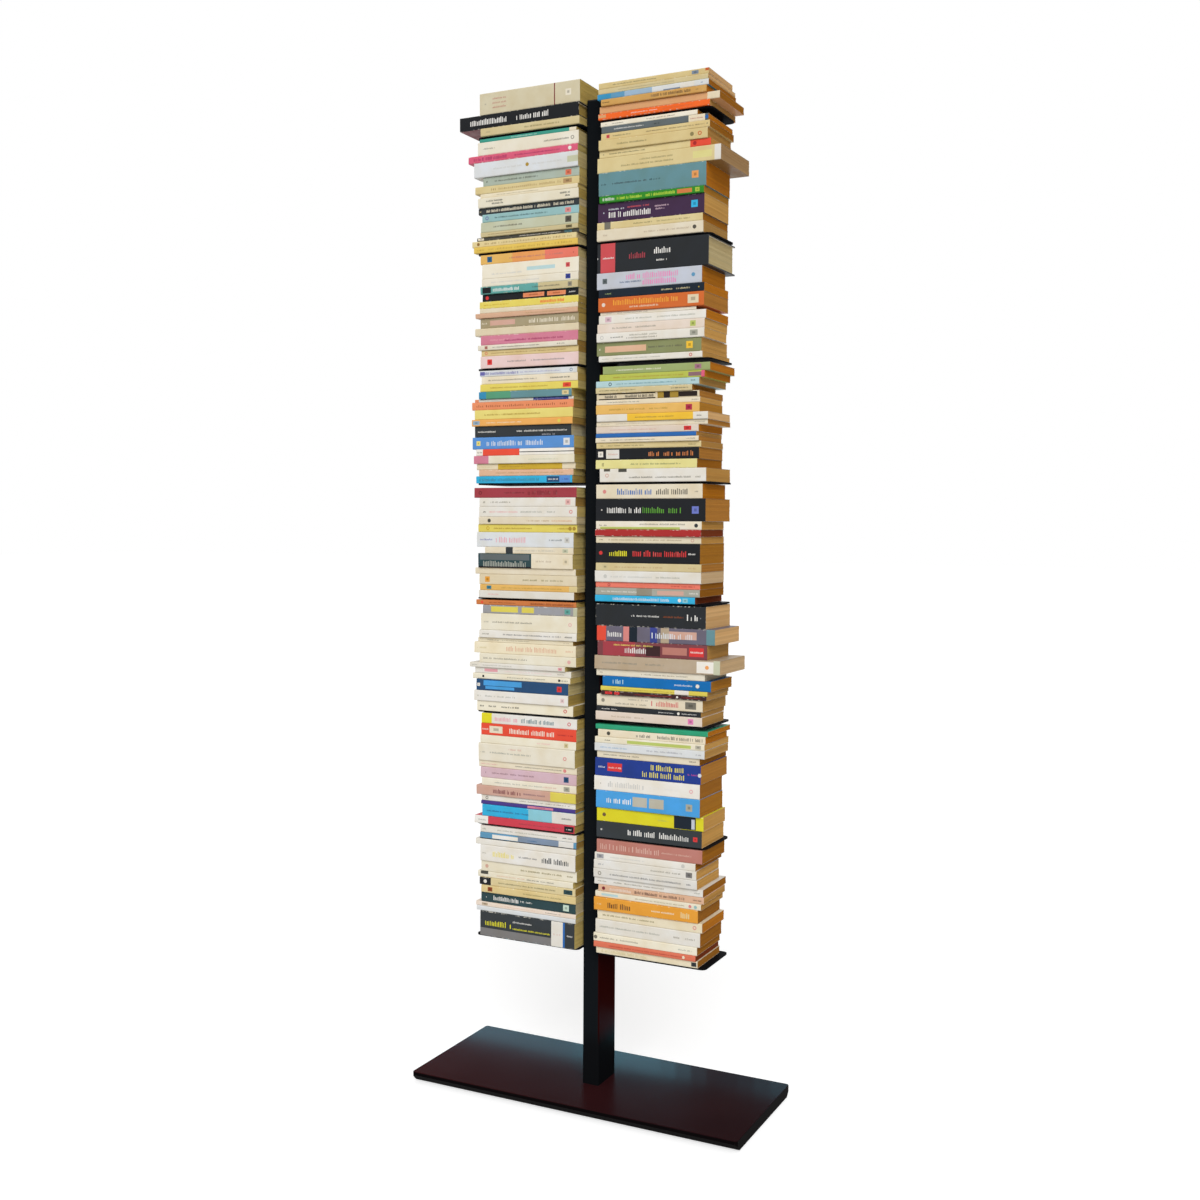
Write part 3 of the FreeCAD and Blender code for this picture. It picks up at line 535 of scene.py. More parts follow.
def moulded_plastic(name, low, high, rough, grain):
    """Injection-moulded polyethylene or nylon: even colour with the mould's fine spark-eroded grain."""
    material, tree, place = new_material(name)
    flow = add(tree, "ShaderNodeTexNoise", [place, 1 / (20 * MM)])
    colour = add(tree, "ShaderNodeMix", [flow, linear(low), linear(high)], data_type="RGBA")
    patches = add(tree, "ShaderNodeTexNoise", [place, 1 / (6 * MM)])
    sheen = add(tree, "ShaderNodeMapRange", [patches, 0.3, 0.7, rough, rough + 0.1])
    # Real spark grain is about a tenth of a millimetre; it is drawn coarser, so that it shows.
    sparks = add(tree, "ShaderNodeTexNoise", [place, 1 / grain])
    relief = add(tree, "ShaderNodeBump", {"Height": sparks, "Distance": 0.02 * MM})
    finish_material(tree, Base_Color=colour, Roughness=sheen, Normal=relief, Specular_IOR_Level=0.3)
    return material


def laminated_card():
    """Printed card under a thin film: flat ink, a soft gloss, and pale core where its folds are worn."""
    material, tree, place = new_material("laminated_card")
    ink = add(tree, "ShaderNodeAttribute", attribute_name="ink")
    worn = add(tree, "ShaderNodeAttribute", attribute_name="worn")
    flakes = add(tree, "ShaderNodeTexNoise", [place, 1 / (4 * MM), 5.0])
    chips = add(tree, "ShaderNodeMath", [out(worn, "Fac"), flakes], operation="MULTIPLY")
    chipped = add(tree, "ShaderNodeMapRange", [chips, 0.52, 0.62, 0, 0.7])
    dust = add(tree, "ShaderNodeTexNoise", [place, 1 / (30 * MM), 4.0])
    clean = add(tree, "ShaderNodeMapRange", [dust, 0.3, 0.75, 1, 0])
    soiled = add(tree, "ShaderNodeMix", [clean, linear("f6f0e4"), linear("ffffff")], data_type="RGBA")
    printed = add(tree, "ShaderNodeMix", [1.0, ink, soiled], data_type="RGBA", blend_type="MULTIPLY")
    colour = add(tree, "ShaderNodeMix", [chipped, printed, linear(CARD_CORE)], data_type="RGBA")
    handled = add(tree, "ShaderNodeTexNoise", [place, 1 / (12 * MM), 3.0])
    sheen = add(tree, "ShaderNodeMapRange", [handled, 0.3, 0.7, 0.34, 0.5])
    # Reading creases run along the spine, about two millimetres apart.
    along = add(tree, "ShaderNodeMapping", {"Vector": place, "Scale": (0.03, 1.0, 1.0)})
    creases = add(tree, "ShaderNodeTexNoise", [along, 1 / (2 * MM), 3.0])
    relief = add(tree, "ShaderNodeBump", {"Height": creases, "Distance": 0.06 * MM, "Strength": 0.5})
    finish_material(tree, Base_Color=colour, Roughness=sheen, Normal=relief, Specular_IOR_Level=0.12)
    return material


def cut_paper():
    """Guillotined wood-pulp leaves, yellowed: matt, streaked along the leaves, in light and dark bands."""
    material, tree, place = new_material("cut_book_paper")
    ink = add(tree, "ShaderNodeAttribute", attribute_name="ink")
    level = add(tree, "ShaderNodeMapping", {"Vector": place, "Scale": (0.004, 0.004, 1.0)})
    # A leaf is a tenth of a millimetre thick; the streaks are drawn six times as coarse, so that they show.
    leaves = add(tree, "ShaderNodeTexNoise", [level, 1 / (0.6 * MM)])
    streaks = add(tree, "ShaderNodeMix", [leaves, linear("e6dccb"), linear("ffffff")], data_type="RGBA")
    streaked = add(tree, "ShaderNodeMix", [1.0, ink, streaks], data_type="RGBA", blend_type="MULTIPLY")
    flat = add(tree, "ShaderNodeMapping", {"Vector": place, "Scale": (0.01, 0.01, 1.0)})
    bundles = add(tree, "ShaderNodeTexNoise", [flat, 1 / (4 * MM), 1.0])
    bands = add(tree, "ShaderNodeMix", [bundles, linear("ebe0cd"), linear("ffffff")], data_type="RGBA")
    colour = add(tree, "ShaderNodeMix", [1.0, streaked, bands], data_type="RGBA", blend_type="MULTIPLY")
    relief = add(tree, "ShaderNodeBump", {"Height": leaves, "Distance": 0.12 * MM})
    finish_material(tree, Base_Color=colour, Roughness=0.9, Normal=relief, Specular_IOR_Level=0.15)
    return material


def printing_ink():
    """Offset ink under the same film as the card: flat colour, a little rubbed."""
    material, tree, place = new_material("printing_ink")
    ink = add(tree, "ShaderNodeAttribute", attribute_name="ink")
    patches = add(tree, "ShaderNodeTexNoise", [place, 1 / (8 * MM), 4.0])
    rubbed = add(tree, "ShaderNodeMapRange", [patches, 0.55, 0.8, 0, 0.25])
    colour = add(tree, "ShaderNodeMix", [rubbed, ink, linear("cfc8b8")], data_type="RGBA")
    handled = add(tree, "ShaderNodeTexNoise", [place, 1 / (12 * MM)])
    sheen = add(tree, "ShaderNodeMapRange", [handled, 0.3, 0.7, 0.36, 0.5])
    finish_material(tree, Base_Color=colour, Roughness=sheen, Specular_IOR_Level=0.12)
    return material


def seen_by_eye(tree):
    """1 on rays from the eye, straight, mirrored or through glass, and 0 on rays that light a surface."""
    rays = add(tree, "ShaderNodeLightPath")
    seen = out(rays, "Is Camera Ray")
    for name in ("Is Glossy Ray", "Is Transmission Ray"):
        seen = add(tree, "ShaderNodeMath", [seen, out(rays, name)], operation="MAXIMUM")
    return seen


def studio_floor():
    """Matt white paper sweep; a little glow for the camera makes it read white and keeps the shadow."""
    material, tree, place = new_material("white_paper_sweep")
    pulp = add(tree, "ShaderNodeTexNoise", [place, 1 / (300 * MM)])
    colour = add(tree, "ShaderNodeMix", [pulp, linear("cdcdcd"), linear("d0d0d0")], data_type="RGBA")
    glow = add(tree, "ShaderNodeMapRange", [seen_by_eye(tree), 0, 1, 0, FLOOR_GLOW])
    finish_material(tree, Base_Color=colour, Roughness=0.95, Specular_IOR_Level=0.0,
                    Emission_Color=linear("ffffff"), Emission_Strength=glow)
    return material


# Geometry Nodes

# What a seed point may carry: the attribute's type and the field that its values fill
SEED_VALUES = {
    "size": ("FLOAT_VECTOR", "vector"), "turn": ("FLOAT", "value"), "ink": ("FLOAT_COLOR", "color"),
    "count": ("INT", "value"), "step": ("FLOAT", "value"),
}


def new_tree(name, inputs):
    """Geometry Nodes tree with geometry in and out and named inputs, each a socket type and first value."""
    tree = bpy.data.node_groups.new(name, "GeometryNodeTree")
    tree.interface.new_socket("Geometry", in_out="INPUT", socket_type="NodeSocketGeometry")
    tree.interface.new_socket("Geometry", in_out="OUTPUT", socket_type="NodeSocketGeometry")
    for label, (kind, value) in inputs.items():
        socket = tree.interface.new_socket(label, in_out="INPUT", socket_type=kind)
        if value is not None:
            socket.default_value = value
    return tree, tree.nodes.new("NodeGroupInput")


def finish_tree(tree, geometry, start):
    """Realize the instances, set the material and close the tree."""
    real = add(tree, "GeometryNodeRealizeInstances", {"Geometry": geometry})
    done = add(tree, "GeometryNodeSetMaterial", {"Geometry": real, "Material": out(start, "Material")})
    add(tree, "NodeGroupOutput", {"Geometry": done})


def leaf_block_tree():
    """One block of leaves on every seed point, each row of leaves cut a little longer or shorter."""
    tree, start = new_tree("leaf_blocks", {
        "Rows": ("NodeSocketInt", LEAF_ROWS), "Unevenness": ("NodeSocketFloat", LEAF_ROUGHNESS),
        "Seed": ("NodeSocketInt", 0), "Material": ("NodeSocketMaterial", None)})
    turn, size = [add(tree, "GeometryNodeInputNamedAttribute", [name], data_type=SEED_VALUES[name][0])
                  for name in ("turn", "size")]
    rows = add(tree, "ShaderNodeMath", [out(start, "Rows"), 1], operation="ADD")
    across, deep = LEAF_COLUMNS
    block = add(tree, "GeometryNodeMeshCube", {
        "Size": (1, 1, 1), "Vertices X": across, "Vertices Y": deep, "Vertices Z": rows})
    rotation = add(tree, "ShaderNodeCombineXYZ", {"Z": turn})
    blocks = add(tree, "GeometryNodeInstanceOnPoints", {
        "Points": out(start, "Geometry"), "Instance": block, "Rotation": rotation, "Scale": size})
    real = add(tree, "GeometryNodeRealizeInstances", {"Geometry": blocks})
    place = add(tree, "ShaderNodeSeparateXYZ", [add(tree, "GeometryNodeInputPosition")])
    level = add(tree, "ShaderNodeMath", [out(place, "Z"), LEAF_ROWS / SECTION_THICK], operation="MULTIPLY")
    row = add(tree, "ShaderNodeMath", [level], operation="ROUND")
    seed = add(tree, "ShaderNodeMath", [row, out(start, "Seed")], operation="ADD")
    chance = add(tree, "ShaderNodeTexWhiteNoise", {"W": seed}, noise_dimensions="1D")
    centred = add(tree, "ShaderNodeMath", [out(chance, "Value"), 0.5], operation="SUBTRACT")
    reach = add(tree, "ShaderNodeMath", [centred, out(start, "Unevenness")], operation="MULTIPLY")
    sideways = add(tree, "ShaderNodeVectorMath", [add(tree, "GeometryNodeInputNormal"), (1, 1, 0)],
                   operation="MULTIPLY")
    offset = add(tree, "ShaderNodeVectorMath", [sideways, reach], operation="SCALE")
    cut = add(tree, "GeometryNodeSetPosition", {"Geometry": real, "Offset": offset})
    finish_tree(tree, cut, start)
    return tree


def printed_line_tree():
    """A line of type marks from every seed point: count marks, a step apart, of uneven width and height."""
    tree, start = new_tree("printed_lines", {
        "Word gaps": ("NodeSocketFloat", 0.12), "Narrowest": ("NodeSocketFloat", 0.55),
        "Lowest": ("NodeSocketFloat", 0.60), "Seed": ("NodeSocketInt", 0),
        "Material": ("NodeSocketMaterial", None)})
    count, step, turn, size = [
        add(tree, "GeometryNodeInputNamedAttribute", [name], data_type=SEED_VALUES[name][0])
        for name in ("count", "step", "turn", "size")]
    marks = add(tree, "GeometryNodeDuplicateElements", {
        "Geometry": out(start, "Geometry"), "Amount": count}, domain="POINT")
    along = add(tree, "ShaderNodeMath", [out(marks, "Duplicate Index"), step], operation="MULTIPLY")
    heading = add(tree, "ShaderNodeCombineXYZ", {
        "X": add(tree, "ShaderNodeMath", [turn], operation="COSINE"),
        "Y": add(tree, "ShaderNodeMath", [turn], operation="SINE")})
    travel = add(tree, "ShaderNodeVectorMath", [heading, along], operation="SCALE")
    spread = add(tree, "GeometryNodeSetPosition", {"Geometry": out(marks, "Geometry"), "Offset": travel})
    gap = add(tree, "FunctionNodeRandomValue", {
        "Probability": out(start, "Word gaps"), "Seed": out(start, "Seed")}, data_type="BOOLEAN")
    text = add(tree, "GeometryNodeDeleteGeometry", {"Geometry": spread, "Selection": gap}, domain="POINT")
    least = add(tree, "ShaderNodeCombineXYZ", {
        "X": out(start, "Narrowest"), "Y": 1.0, "Z": out(start, "Lowest")})
    uneven = add(tree, "FunctionNodeRandomValue", {
        "Min": least, "Max": (1, 1, 1), "Seed": out(start, "Seed")}, data_type="FLOAT_VECTOR")
    own_size = add(tree, "ShaderNodeVectorMath", [size, uneven], operation="MULTIPLY")
    # A lower mark sinks by half of what it lacks, so that all stand on one line.
    shrunk = add(tree, "ShaderNodeVectorMath", [own_size, size], operation="SUBTRACT")
    sink = add(tree, "ShaderNodeVectorMath", [shrunk, (0, 0, 0.5)], operation="MULTIPLY")
    level = add(tree, "GeometryNodeSetPosition", {"Geometry": text, "Offset": sink})
    block = add(tree, "GeometryNodeMeshCube", {"Size": (1, 1, 1)})
    rotation = add(tree, "ShaderNodeCombineXYZ", {"Z": turn})
    placed = add(tree, "GeometryNodeInstanceOnPoints", {
        "Points": level, "Instance": block, "Rotation": rotation, "Scale": own_size})
    finish_tree(tree, placed, start)
    return tree


def seed_points(name, seeds):
    """Mesh of loose points that carry each seed's values as attributes."""
    mesh = bpy.data.meshes.new(name)
    mesh.from_pydata([seed["place"] for seed in seeds], [], [])
    for key, (kind, field) in SEED_VALUES.items():
        if key in seeds[0]:
            flat = [seed[key] for seed in seeds]
            if field != "value":
                flat = [number for row in flat for number in row]
            mesh.attributes.new(key, kind, "POINT").data.foreach_set(field, flat)
    return mesh


def grow(name, tree, seeds, values):
    """Plain mesh object that the tree makes from the seeds, with the tree's inputs set by identifier."""
    holder = new_object(name + "_seeds", seed_points(name + "_seeds", seeds))
    modifier = holder.modifiers.new("tree", "NODES")
    modifier.node_group = tree
    for item in tree.interface.items_tree:
        if item.in_out == "INPUT" and item.name in values:
            modifier[item.identifier] = values[item.name]
    graph = bpy.context.evaluated_depsgraph_get()
    mesh = bpy.data.meshes.new_from_object(holder.evaluated_get(graph), depsgraph=graph)
    mesh.name = name
    bpy.data.objects.remove(holder)
    return new_object(name, mesh)


# Books


class Look:
    """What a book's line in LOOKS says."""

    def __init__(self, line):
        covers, *items = line.split(";")
        self.covers = [linear(COLOURS[name]) for name in covers.split(">")]
        self.patches = []
        self.labels = []
        self.lines = []
        self.marks = []
        self.pages = None
        self.under = None
        self.hard = False
        for item in items:
            self.read(*item.split())

    def read(self, kind, *words):
        if kind == "hard":
            self.hard = True
            return
        where = next(i for i, word in enumerate(words) if word in COLOURS)
        colour = linear(COLOURS[words[where]])
        places = [float(word) / 100 for word in words[:where]]
        heights = [float(word) / 100 for word in words[where + 1:]]
        spans = list(zip(places[::2], places[1::2]))
        if kind in ("under", "pages"):
            setattr(self, kind, colour)
        elif kind in ("dot", "ring"):
            self.marks += [(kind, place, colour) for place in places]
        elif kind == "label":
            self.labels += [(*span, colour) for span in spans]
        elif kind == "patch":
            self.patches += [(*span, colour, *(heights or (0.0, 1.0))) for span in spans]
        else:
            self.lines += [(kind, *span, colour, *(heights or (0.5,))) for span in spans]


def read_looks(text):
    """Looks of every stack's books, from the top one down."""
    stacks = {}
    for line in text.strip().replace("\n  ", " ").splitlines():
        if line.endswith(":"):
            books = stacks[line[:-1]] = []
        else:
            books.append(Look(line))
    return stacks


class Book:
    """One lying book. Its own x runs along the spine from the left end, y from spine to fore edge, z up."""

    def __init__(self, low, high, look, page_colour, chance):
        self.length, self.depth, self.thick = high - low
        self.centre = (low + high) / 2
        self.bottom = low.z
        self.look = look
        self.page_colour = look.pages or page_colour
        self.make = IN_BOARDS if look.hard else PAPERBACK
        self.fold = min(self.make["fold"], FOLD_SHARE * self.thick)
        self.turn = chance.uniform(-BOOK_TURN, BOOK_TURN)
        self.lean = chance.uniform(-SPINE_LEAN, SPINE_LEAN)
        self.bulge = self.make["bulge"] * chance.uniform(*BULGE_SPREAD)
        self.tone = chance.uniform(*COVER_TONES)
        self.wear = chance.uniform(*EDGE_WEAR)
        self.chance = chance
        self.patches = look.patches + [field for entry in look.labels for field in self.label(*entry)]

    def label(self, start, end, ink):
        """Field no higher than it is wide, clear of both edges of the spine, with a darker mark in it."""
        reach = (end - start) / 2
        half = min(HALF_LABEL, reach * self.length / self.thick)
        middle = (start + end) / 2
        mark = (middle - LABEL_MARK * reach, middle + LABEL_MARK * reach, shade(ink, LABEL_SHADE),
                0.5 - LABEL_MARK * half, 0.5 + LABEL_MARK * half)
        return (start, end, ink, 0.5 - half, 0.5 + half), mark

    def front(self, z):
        """Where the spine's face stands at a height; it leans a little and bulges forward."""
        share = z / self.thick
        return self.lean * (share - 0.5) - self.bulge * (1 - (2 * share - 1) ** 2)

    def face(self, z, reach):
        """Where a flat print as high as twice the reach lies, so that all of it clears the spine's face."""
        return min(self.front(z - reach), self.front(z), self.front(z + reach)) - INK_THICK

    def place(self, x, y, z):
        """World place of a point of the book."""
        across, deep = x - self.length / 2, y - self.depth / 2
        cos, sin = math.cos(self.turn), math.sin(self.turn)
        return Vector((self.centre.x + across * cos - deep * sin,
                       self.centre.y + across * sin + deep * cos, self.bottom + z))

    def paint(self, along, up):
        """Cover colour at a share of the spine's length and thickness; later patches cover earlier ones."""
        covers = self.look.covers
        colour = covers[min(len(covers) - 1, int(along * len(covers)))]
        for start, end, ink, low, high in self.patches:
            if start <= along <= end and low <= up <= high:
                colour = ink
        return shade(colour, self.tone)


class Sheaf:
    """Gathers closed shells into one mesh, with a colour on each face and a wear value on each point."""

    def __init__(self):
        self.points, self.wear, self.faces, self.inks = [], [], [], []

    def add(self, points, wear, faces, inks):
        start = len(self.points)
        self.points += points
        self.wear += wear
        self.faces += [[start + i for i in face] for face in faces]
        self.inks += inks

    def piece(self, name, material):
        mesh = bpy.data.meshes.new(name)
        mesh.from_pydata(self.points, [], self.faces)
        mesh.materials.append(material)
        colours = [c for ink, face in zip(self.inks, self.faces) for _ in face for c in ink]
        mesh.color_attributes.new("ink", "FLOAT_COLOR", "CORNER").data.foreach_set("color", colours)
        mesh.attributes.new("worn", "FLOAT", "POINT").data.foreach_set("value", self.wear)
        mesh.shade_smooth()
        mesh.set_sharp_from_angle(angle=SHARP_ANGLE)
        return new_object(name, mesh)


def quarter(radius, centre_y, centre_z, side):
    """Points of a fold from the cover's flat to the spine, below (side -1) or above (side 1)."""
    angles = [math.pi / 2 * i / (FOLD_POINTS - 1) for i in range(FOLD_POINTS)]
    points = [(centre_y - radius * math.sin(a), centre_z + side * radius * math.cos(a)) for a in angles]
    return points if side < 0 else points[::-1]


def section_line(book, inset, cuts):
    """A cover's line round the book, inset from its outside: lower flat, fold, spine, fold, upper flat."""
    radius = max(book.fold - inset, LEAST_FOLD)
    centre = inset + radius
    scuffed = book.fold + SCUFF_REACH
    line = [(book.depth, inset), (scuffed, inset)] + quarter(radius, centre, centre, -1)
    span = (book.thick - 2 * centre) / (book.thick - 2 * book.fold)
    line += [(inset, centre + (cut - book.fold) * span) for cut in cuts]
    line += quarter(radius, centre, book.thick - centre, 1)
    line += [(scuffed, book.thick - inset), (book.depth, book.thick - inset)]
    return line


def cut_places(edges, low, high):
    """Sorted cutting places strictly inside a range, with no strip between them too narrow."""
    places = []
    for edge in sorted(edges):
        clear = not places or edge - places[-1] > LEAST_STRIP
        if clear and low + LEAST_STRIP < edge < high - LEAST_STRIP:
            places.append(edge)
    return places


def cover_cuts(book):
    """Heights on the spine and stations along it where a cover is cut, for its colours and its scuffs."""
    length, thick, covers = book.length, book.thick, len(book.look.covers)
    scuffed = book.fold + SCUFF_ON_SPINE
    heights = [edge * thick for patch in book.patches for edge in patch[3:5]]
    heights = cut_places(heights + [scuffed, thick - scuffed], book.fold, thick - book.fold)
    edges = [edge * length for patch in book.patches for edge in patch[:2]]
    edges += [length * i / covers for i in range(1, covers)]
    edges += [SCUFF_REACH, length - SCUFF_REACH]
    return heights, [0.0] + cut_places(edges, 0.0, length) + [length]


def cover_points(book, stations, outer, inner):
    """Points of a cover, first outside and then inside at each station, and how worn each is."""
    rows = len(outer)
    flats = (0, 1, rows - 2, rows - 1)
    folds = [*range(2, 2 + FOLD_POINTS), *range(rows - 2 - FOLD_POINTS, rows - 2)]
    points, wear = [], []
    for x in stations:
        at_end = x in (0.0, book.length)
        for line in (outer, inner):
            for k, (y, z) in enumerate(line):
                points.append(book.place(x, y if k in flats else y + book.front(z), z))
                wear.append(book.wear if k in folds or at_end else 0.0)
    return points, wear


def cover_faces(book, stations, outer):
    """Faces of a cover and their colours: printed outside, bare card inside, and rims darkened as painted
    shade.
    """
    look, rows = book.look, len(outer)
    top, last = rows - 1, len(stations) - 1
    core = shade(linear(CARD_CORE), book.tone)
    # The rims are darkened: painted shade in the lines between the books.
    rim = shade(look.covers[0] if look.hard else book.page_colour, RIM_PAINTED_SHADE)
    faces, inks = [], []

    def outside(i, k):
        return 2 * rows * i + k

    def inside(i, k):
        return 2 * rows * i + rows + k

    for i in range(last):
        j = i + 1
        along = (stations[i] + stations[j]) / 2 / book.length
        for k in range(top):
            if k < 2:
                ink = shade(look.under or look.covers[0], book.tone)
            elif k > top - 3:
                ink = shade(look.covers[0], book.tone)
            else:
                ink = book.paint(along, (outer[k][1] + outer[k + 1][1]) / 2 / book.thick)
            faces += [(outside(i, k), outside(j, k), outside(j, k + 1), outside(i, k + 1)),
                      (inside(i, k), inside(i, k + 1), inside(j, k + 1), inside(j, k))]
            inks += [ink, core]
        faces += [(outside(i, 0), inside(i, 0), inside(j, 0), outside(j, 0)),
                  (inside(i, top), outside(i, top), outside(j, top), inside(j, top))]
        inks += [rim, rim]
    for k in range(top):
        faces += [(outside(0, k), outside(0, k + 1), inside(0, k + 1), inside(0, k)),
                  (outside(last, k), inside(last, k), inside(last, k + 1), outside(last, k + 1))]
        inks += [rim, rim]
    return faces, inks


def add_cover(sheaf, book):
    """Folded cover: one closed shell of card round three sides of the book, cut where colours change."""
    heights, stations = cover_cuts(book)
    outer = section_line(book, 0.0, heights)
    inner = section_line(book, book.make["card"], heights)
    sheaf.add(*cover_points(book, stations, outer, inner), *cover_faces(book, stations, outer))


def add_mark(sheaf, book, kind, along, ink):
    """Printed dot or ring on the spine, as a thin round plate."""
    radius = min(MARK_SHARE * book.thick, MARK_RADIUS)
    x, z = along * book.length, book.thick / 2
    radii = (radius, RING_HOLE * radius) if kind == "ring" else (radius,)
    points = []
    for r in radii:
        for y in (book.face(z, radius), book.front(z) + MARK_ROOT):
            for i in range(MARK_SIDES):
                angle = 2 * math.pi * i / MARK_SIDES
                points.append(book.place(x + r * math.cos(angle), y, z + r * math.sin(angle)))
    faces = []
    front, back, hole_front, hole_back = [number * MARK_SIDES for number in range(4)]
    for i in range(MARK_SIDES):
        j = (i + 1) % MARK_SIDES
        faces.append((front + i, back + i, back + j, front + j))
        if kind == "ring":
            faces += [(hole_front + i, hole_front + j, hole_back + j, hole_back + i),
                      (front + i, front + j, hole_front + j, hole_front + i),
                      (back + i, hole_back + i, hole_back + j, back + j)]
    if kind == "dot":
        faces += [tuple(range(MARK_SIDES)), tuple(range(2 * MARK_SIDES - 1, MARK_SIDES - 1, -1))]
    sheaf.add(points, [0.0] * len(points), faces, [ink] * len(faces))


def page_seeds(book):
    """Seed points of a book's sections of leaves, stacked from one cover to the other."""
    card, square = book.make["card"], book.make["square"]
    room = book.thick - 2 * card - 2 * LEAF_PLAY
    count = max(1, round(room / SECTION_THICK))
    each = room / count
    start = card + GLUE_ROOM
    seeds = []
    for i in range(count):
        trim = square + book.chance.uniform(0, TRIM_SPREAD)
        deep = book.depth - start - trim
        z = card + LEAF_PLAY + each * (i + 0.5)
        tone = book.tone * book.chance.uniform(*LEAF_TONES)
        seeds.append({
            "place": book.place(book.length / 2, start + deep / 2, z), "turn": book.turn,
            "size": (book.length - 2 * trim, deep, each - SECTION_GAP),
            "ink": shade(book.page_colour, tone)})
    return seeds


def line_seed(book, kind, start, end, ink, row):
    """Seed point of one line of type marks on the spine."""
    share, least, most, width, gap = TYPE_SIZES[kind]
    tallest = TALLEST_TYPE if row == 0.5 else TALLEST_OF_SEVERAL
    height = min(max(share * book.thick, least), most, tallest * book.thick)
    step = height * (width + gap)
    z = row * book.thick
    y = book.face(z, height / 2) + TYPE_PLATE / 2
    return {"place": book.place(start * book.length + step / 2, y, z), "turn": book.turn,
            "size": (height * width, TYPE_PLATE, height), "ink": ink,
            "count": max(1, round((end - start) * book.length / step)), "step": step}


def upper_cover_seeds(book):
    """A heading and a block of small lines on the cover that a top book shows, set across the spine."""
    ink = linear(COLOURS["ivory" if sum(book.look.covers[0][:3]) < DARK_COVER else "dark_grey"])
    seeds = []
    for share, height in COVER_LINES:
        step = height * COVER_TYPE_STEP
        count = int(COVER_LINE_REACH * book.depth / step)
        seeds.append({
            "place": book.place(share * book.length, (book.depth + count * step) / 2, book.thick),
            "turn": book.turn - math.pi / 2, "size": (height * COVER_TYPE_WIDTH, height, 2 * INK_THICK),
            "ink": ink, "count": count, "step": step})
    return seeds


def book_corners(stack):
    """Lowest and highest corner of every book of a stack, from the top one down."""
    corners = [vertex.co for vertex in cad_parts[f"books_{stack}"].data.vertices]
    levels = sorted({round(corner.z, LEVEL_DIGITS) for corner in corners}, reverse=True)
    pairs = []
    for top, bottom in zip(levels[::2], levels[1::2]):
        own = [corner for corner in corners if bottom - SAME_LEVEL < corner.z < top + SAME_LEVEL]
        low = Vector([min(corner[axis] for corner in own) for axis in range(3)])
        high = Vector([max(corner[axis] for corner in own) for axis in range(3)])
        pairs.append((low, high))
    return pairs


def sprung(pairs, stack):
    """The same books as high as springy paper stands: to just under the shelf above, unless loose."""
    side, level = stack.split("_")
    if level == "1" or stack in LOOSE_STACKS:
        return pairs
    foot, top = pairs[-1][0].z, pairs[0][1].z
    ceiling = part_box(f"shelf_{side}_{int(level) - 1}")[0][2] - SHELF_PLAY
    grown = (ceiling - foot) / (top - foot)

    def lifted(corner):
        return Vector((corner.x, corner.y, foot + (corner.z - foot) * grown))

    return [(lifted(low), lifted(high)) for low, high in pairs]


def make_stack(stack, looks, number, trees, materials):
    """Covers, leaves and print of one stack, in place of its boxes."""
    node = f"books_{stack}"
    side = stack.split("_")[0]
    corners = sprung(book_corners(stack), stack)
    if len(corners) != len(looks):
        raise RuntimeError(f"{node} has {len(corners)} books and {len(looks)} looks")
    sheaf, pages, lines = Sheaf(), [], []
    for i, ((low, high), look) in enumerate(zip(corners, looks)):
        chance = random.Random(f"{stack}-{i}")
        page_colour = linear(chance.choice(PAGE_COLOURS[side]))
        book = Book(low, high, look, page_colour, chance)
        add_cover(sheaf, book)
        for mark in look.marks:
            add_mark(sheaf, book, *mark)
        pages += page_seeds(book)
        lines += [line_seed(book, *line) for line in look.lines]
        if i == 0 and stack.endswith("_1"):
            lines += upper_cover_seeds(book)
    pieces = [
        sheaf.piece(f"covers_{stack}", materials["card"]),
        grow(f"leaves_{stack}", trees["leaves"], pages, {"Seed": number, "Material": materials["paper"]}),
        grow(f"print_{stack}", trees["lines"], lines, {"Seed": number, "Material": materials["ink"]}),
    ]
    for piece in pieces:
        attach(piece, node)
        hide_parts(node)


def make_books():
    trees = {"leaves": leaf_block_tree(), "lines": printed_line_tree()}
    materials = {"card": laminated_card(), "paper": cut_paper(), "ink": printing_ink()}
    for number, (stack, looks) in enumerate(read_looks(LOOKS).items()):
        make_stack(stack, looks, number, trees, materials)


# Steelwork

# The base's top keeps its painted reflection down to this far below its edge, the post's side from these
# heights up; below is painted shade
BASE_EDGE_FADE = 1.2 * MM
POST_FOOT_FADE = (68 * MM, 95 * MM)
# The post's right side's red, painted reflection, gives way to the front's colour between these shares of
# its half width
POST_SIDE_FADE = (0.85, 0.99)


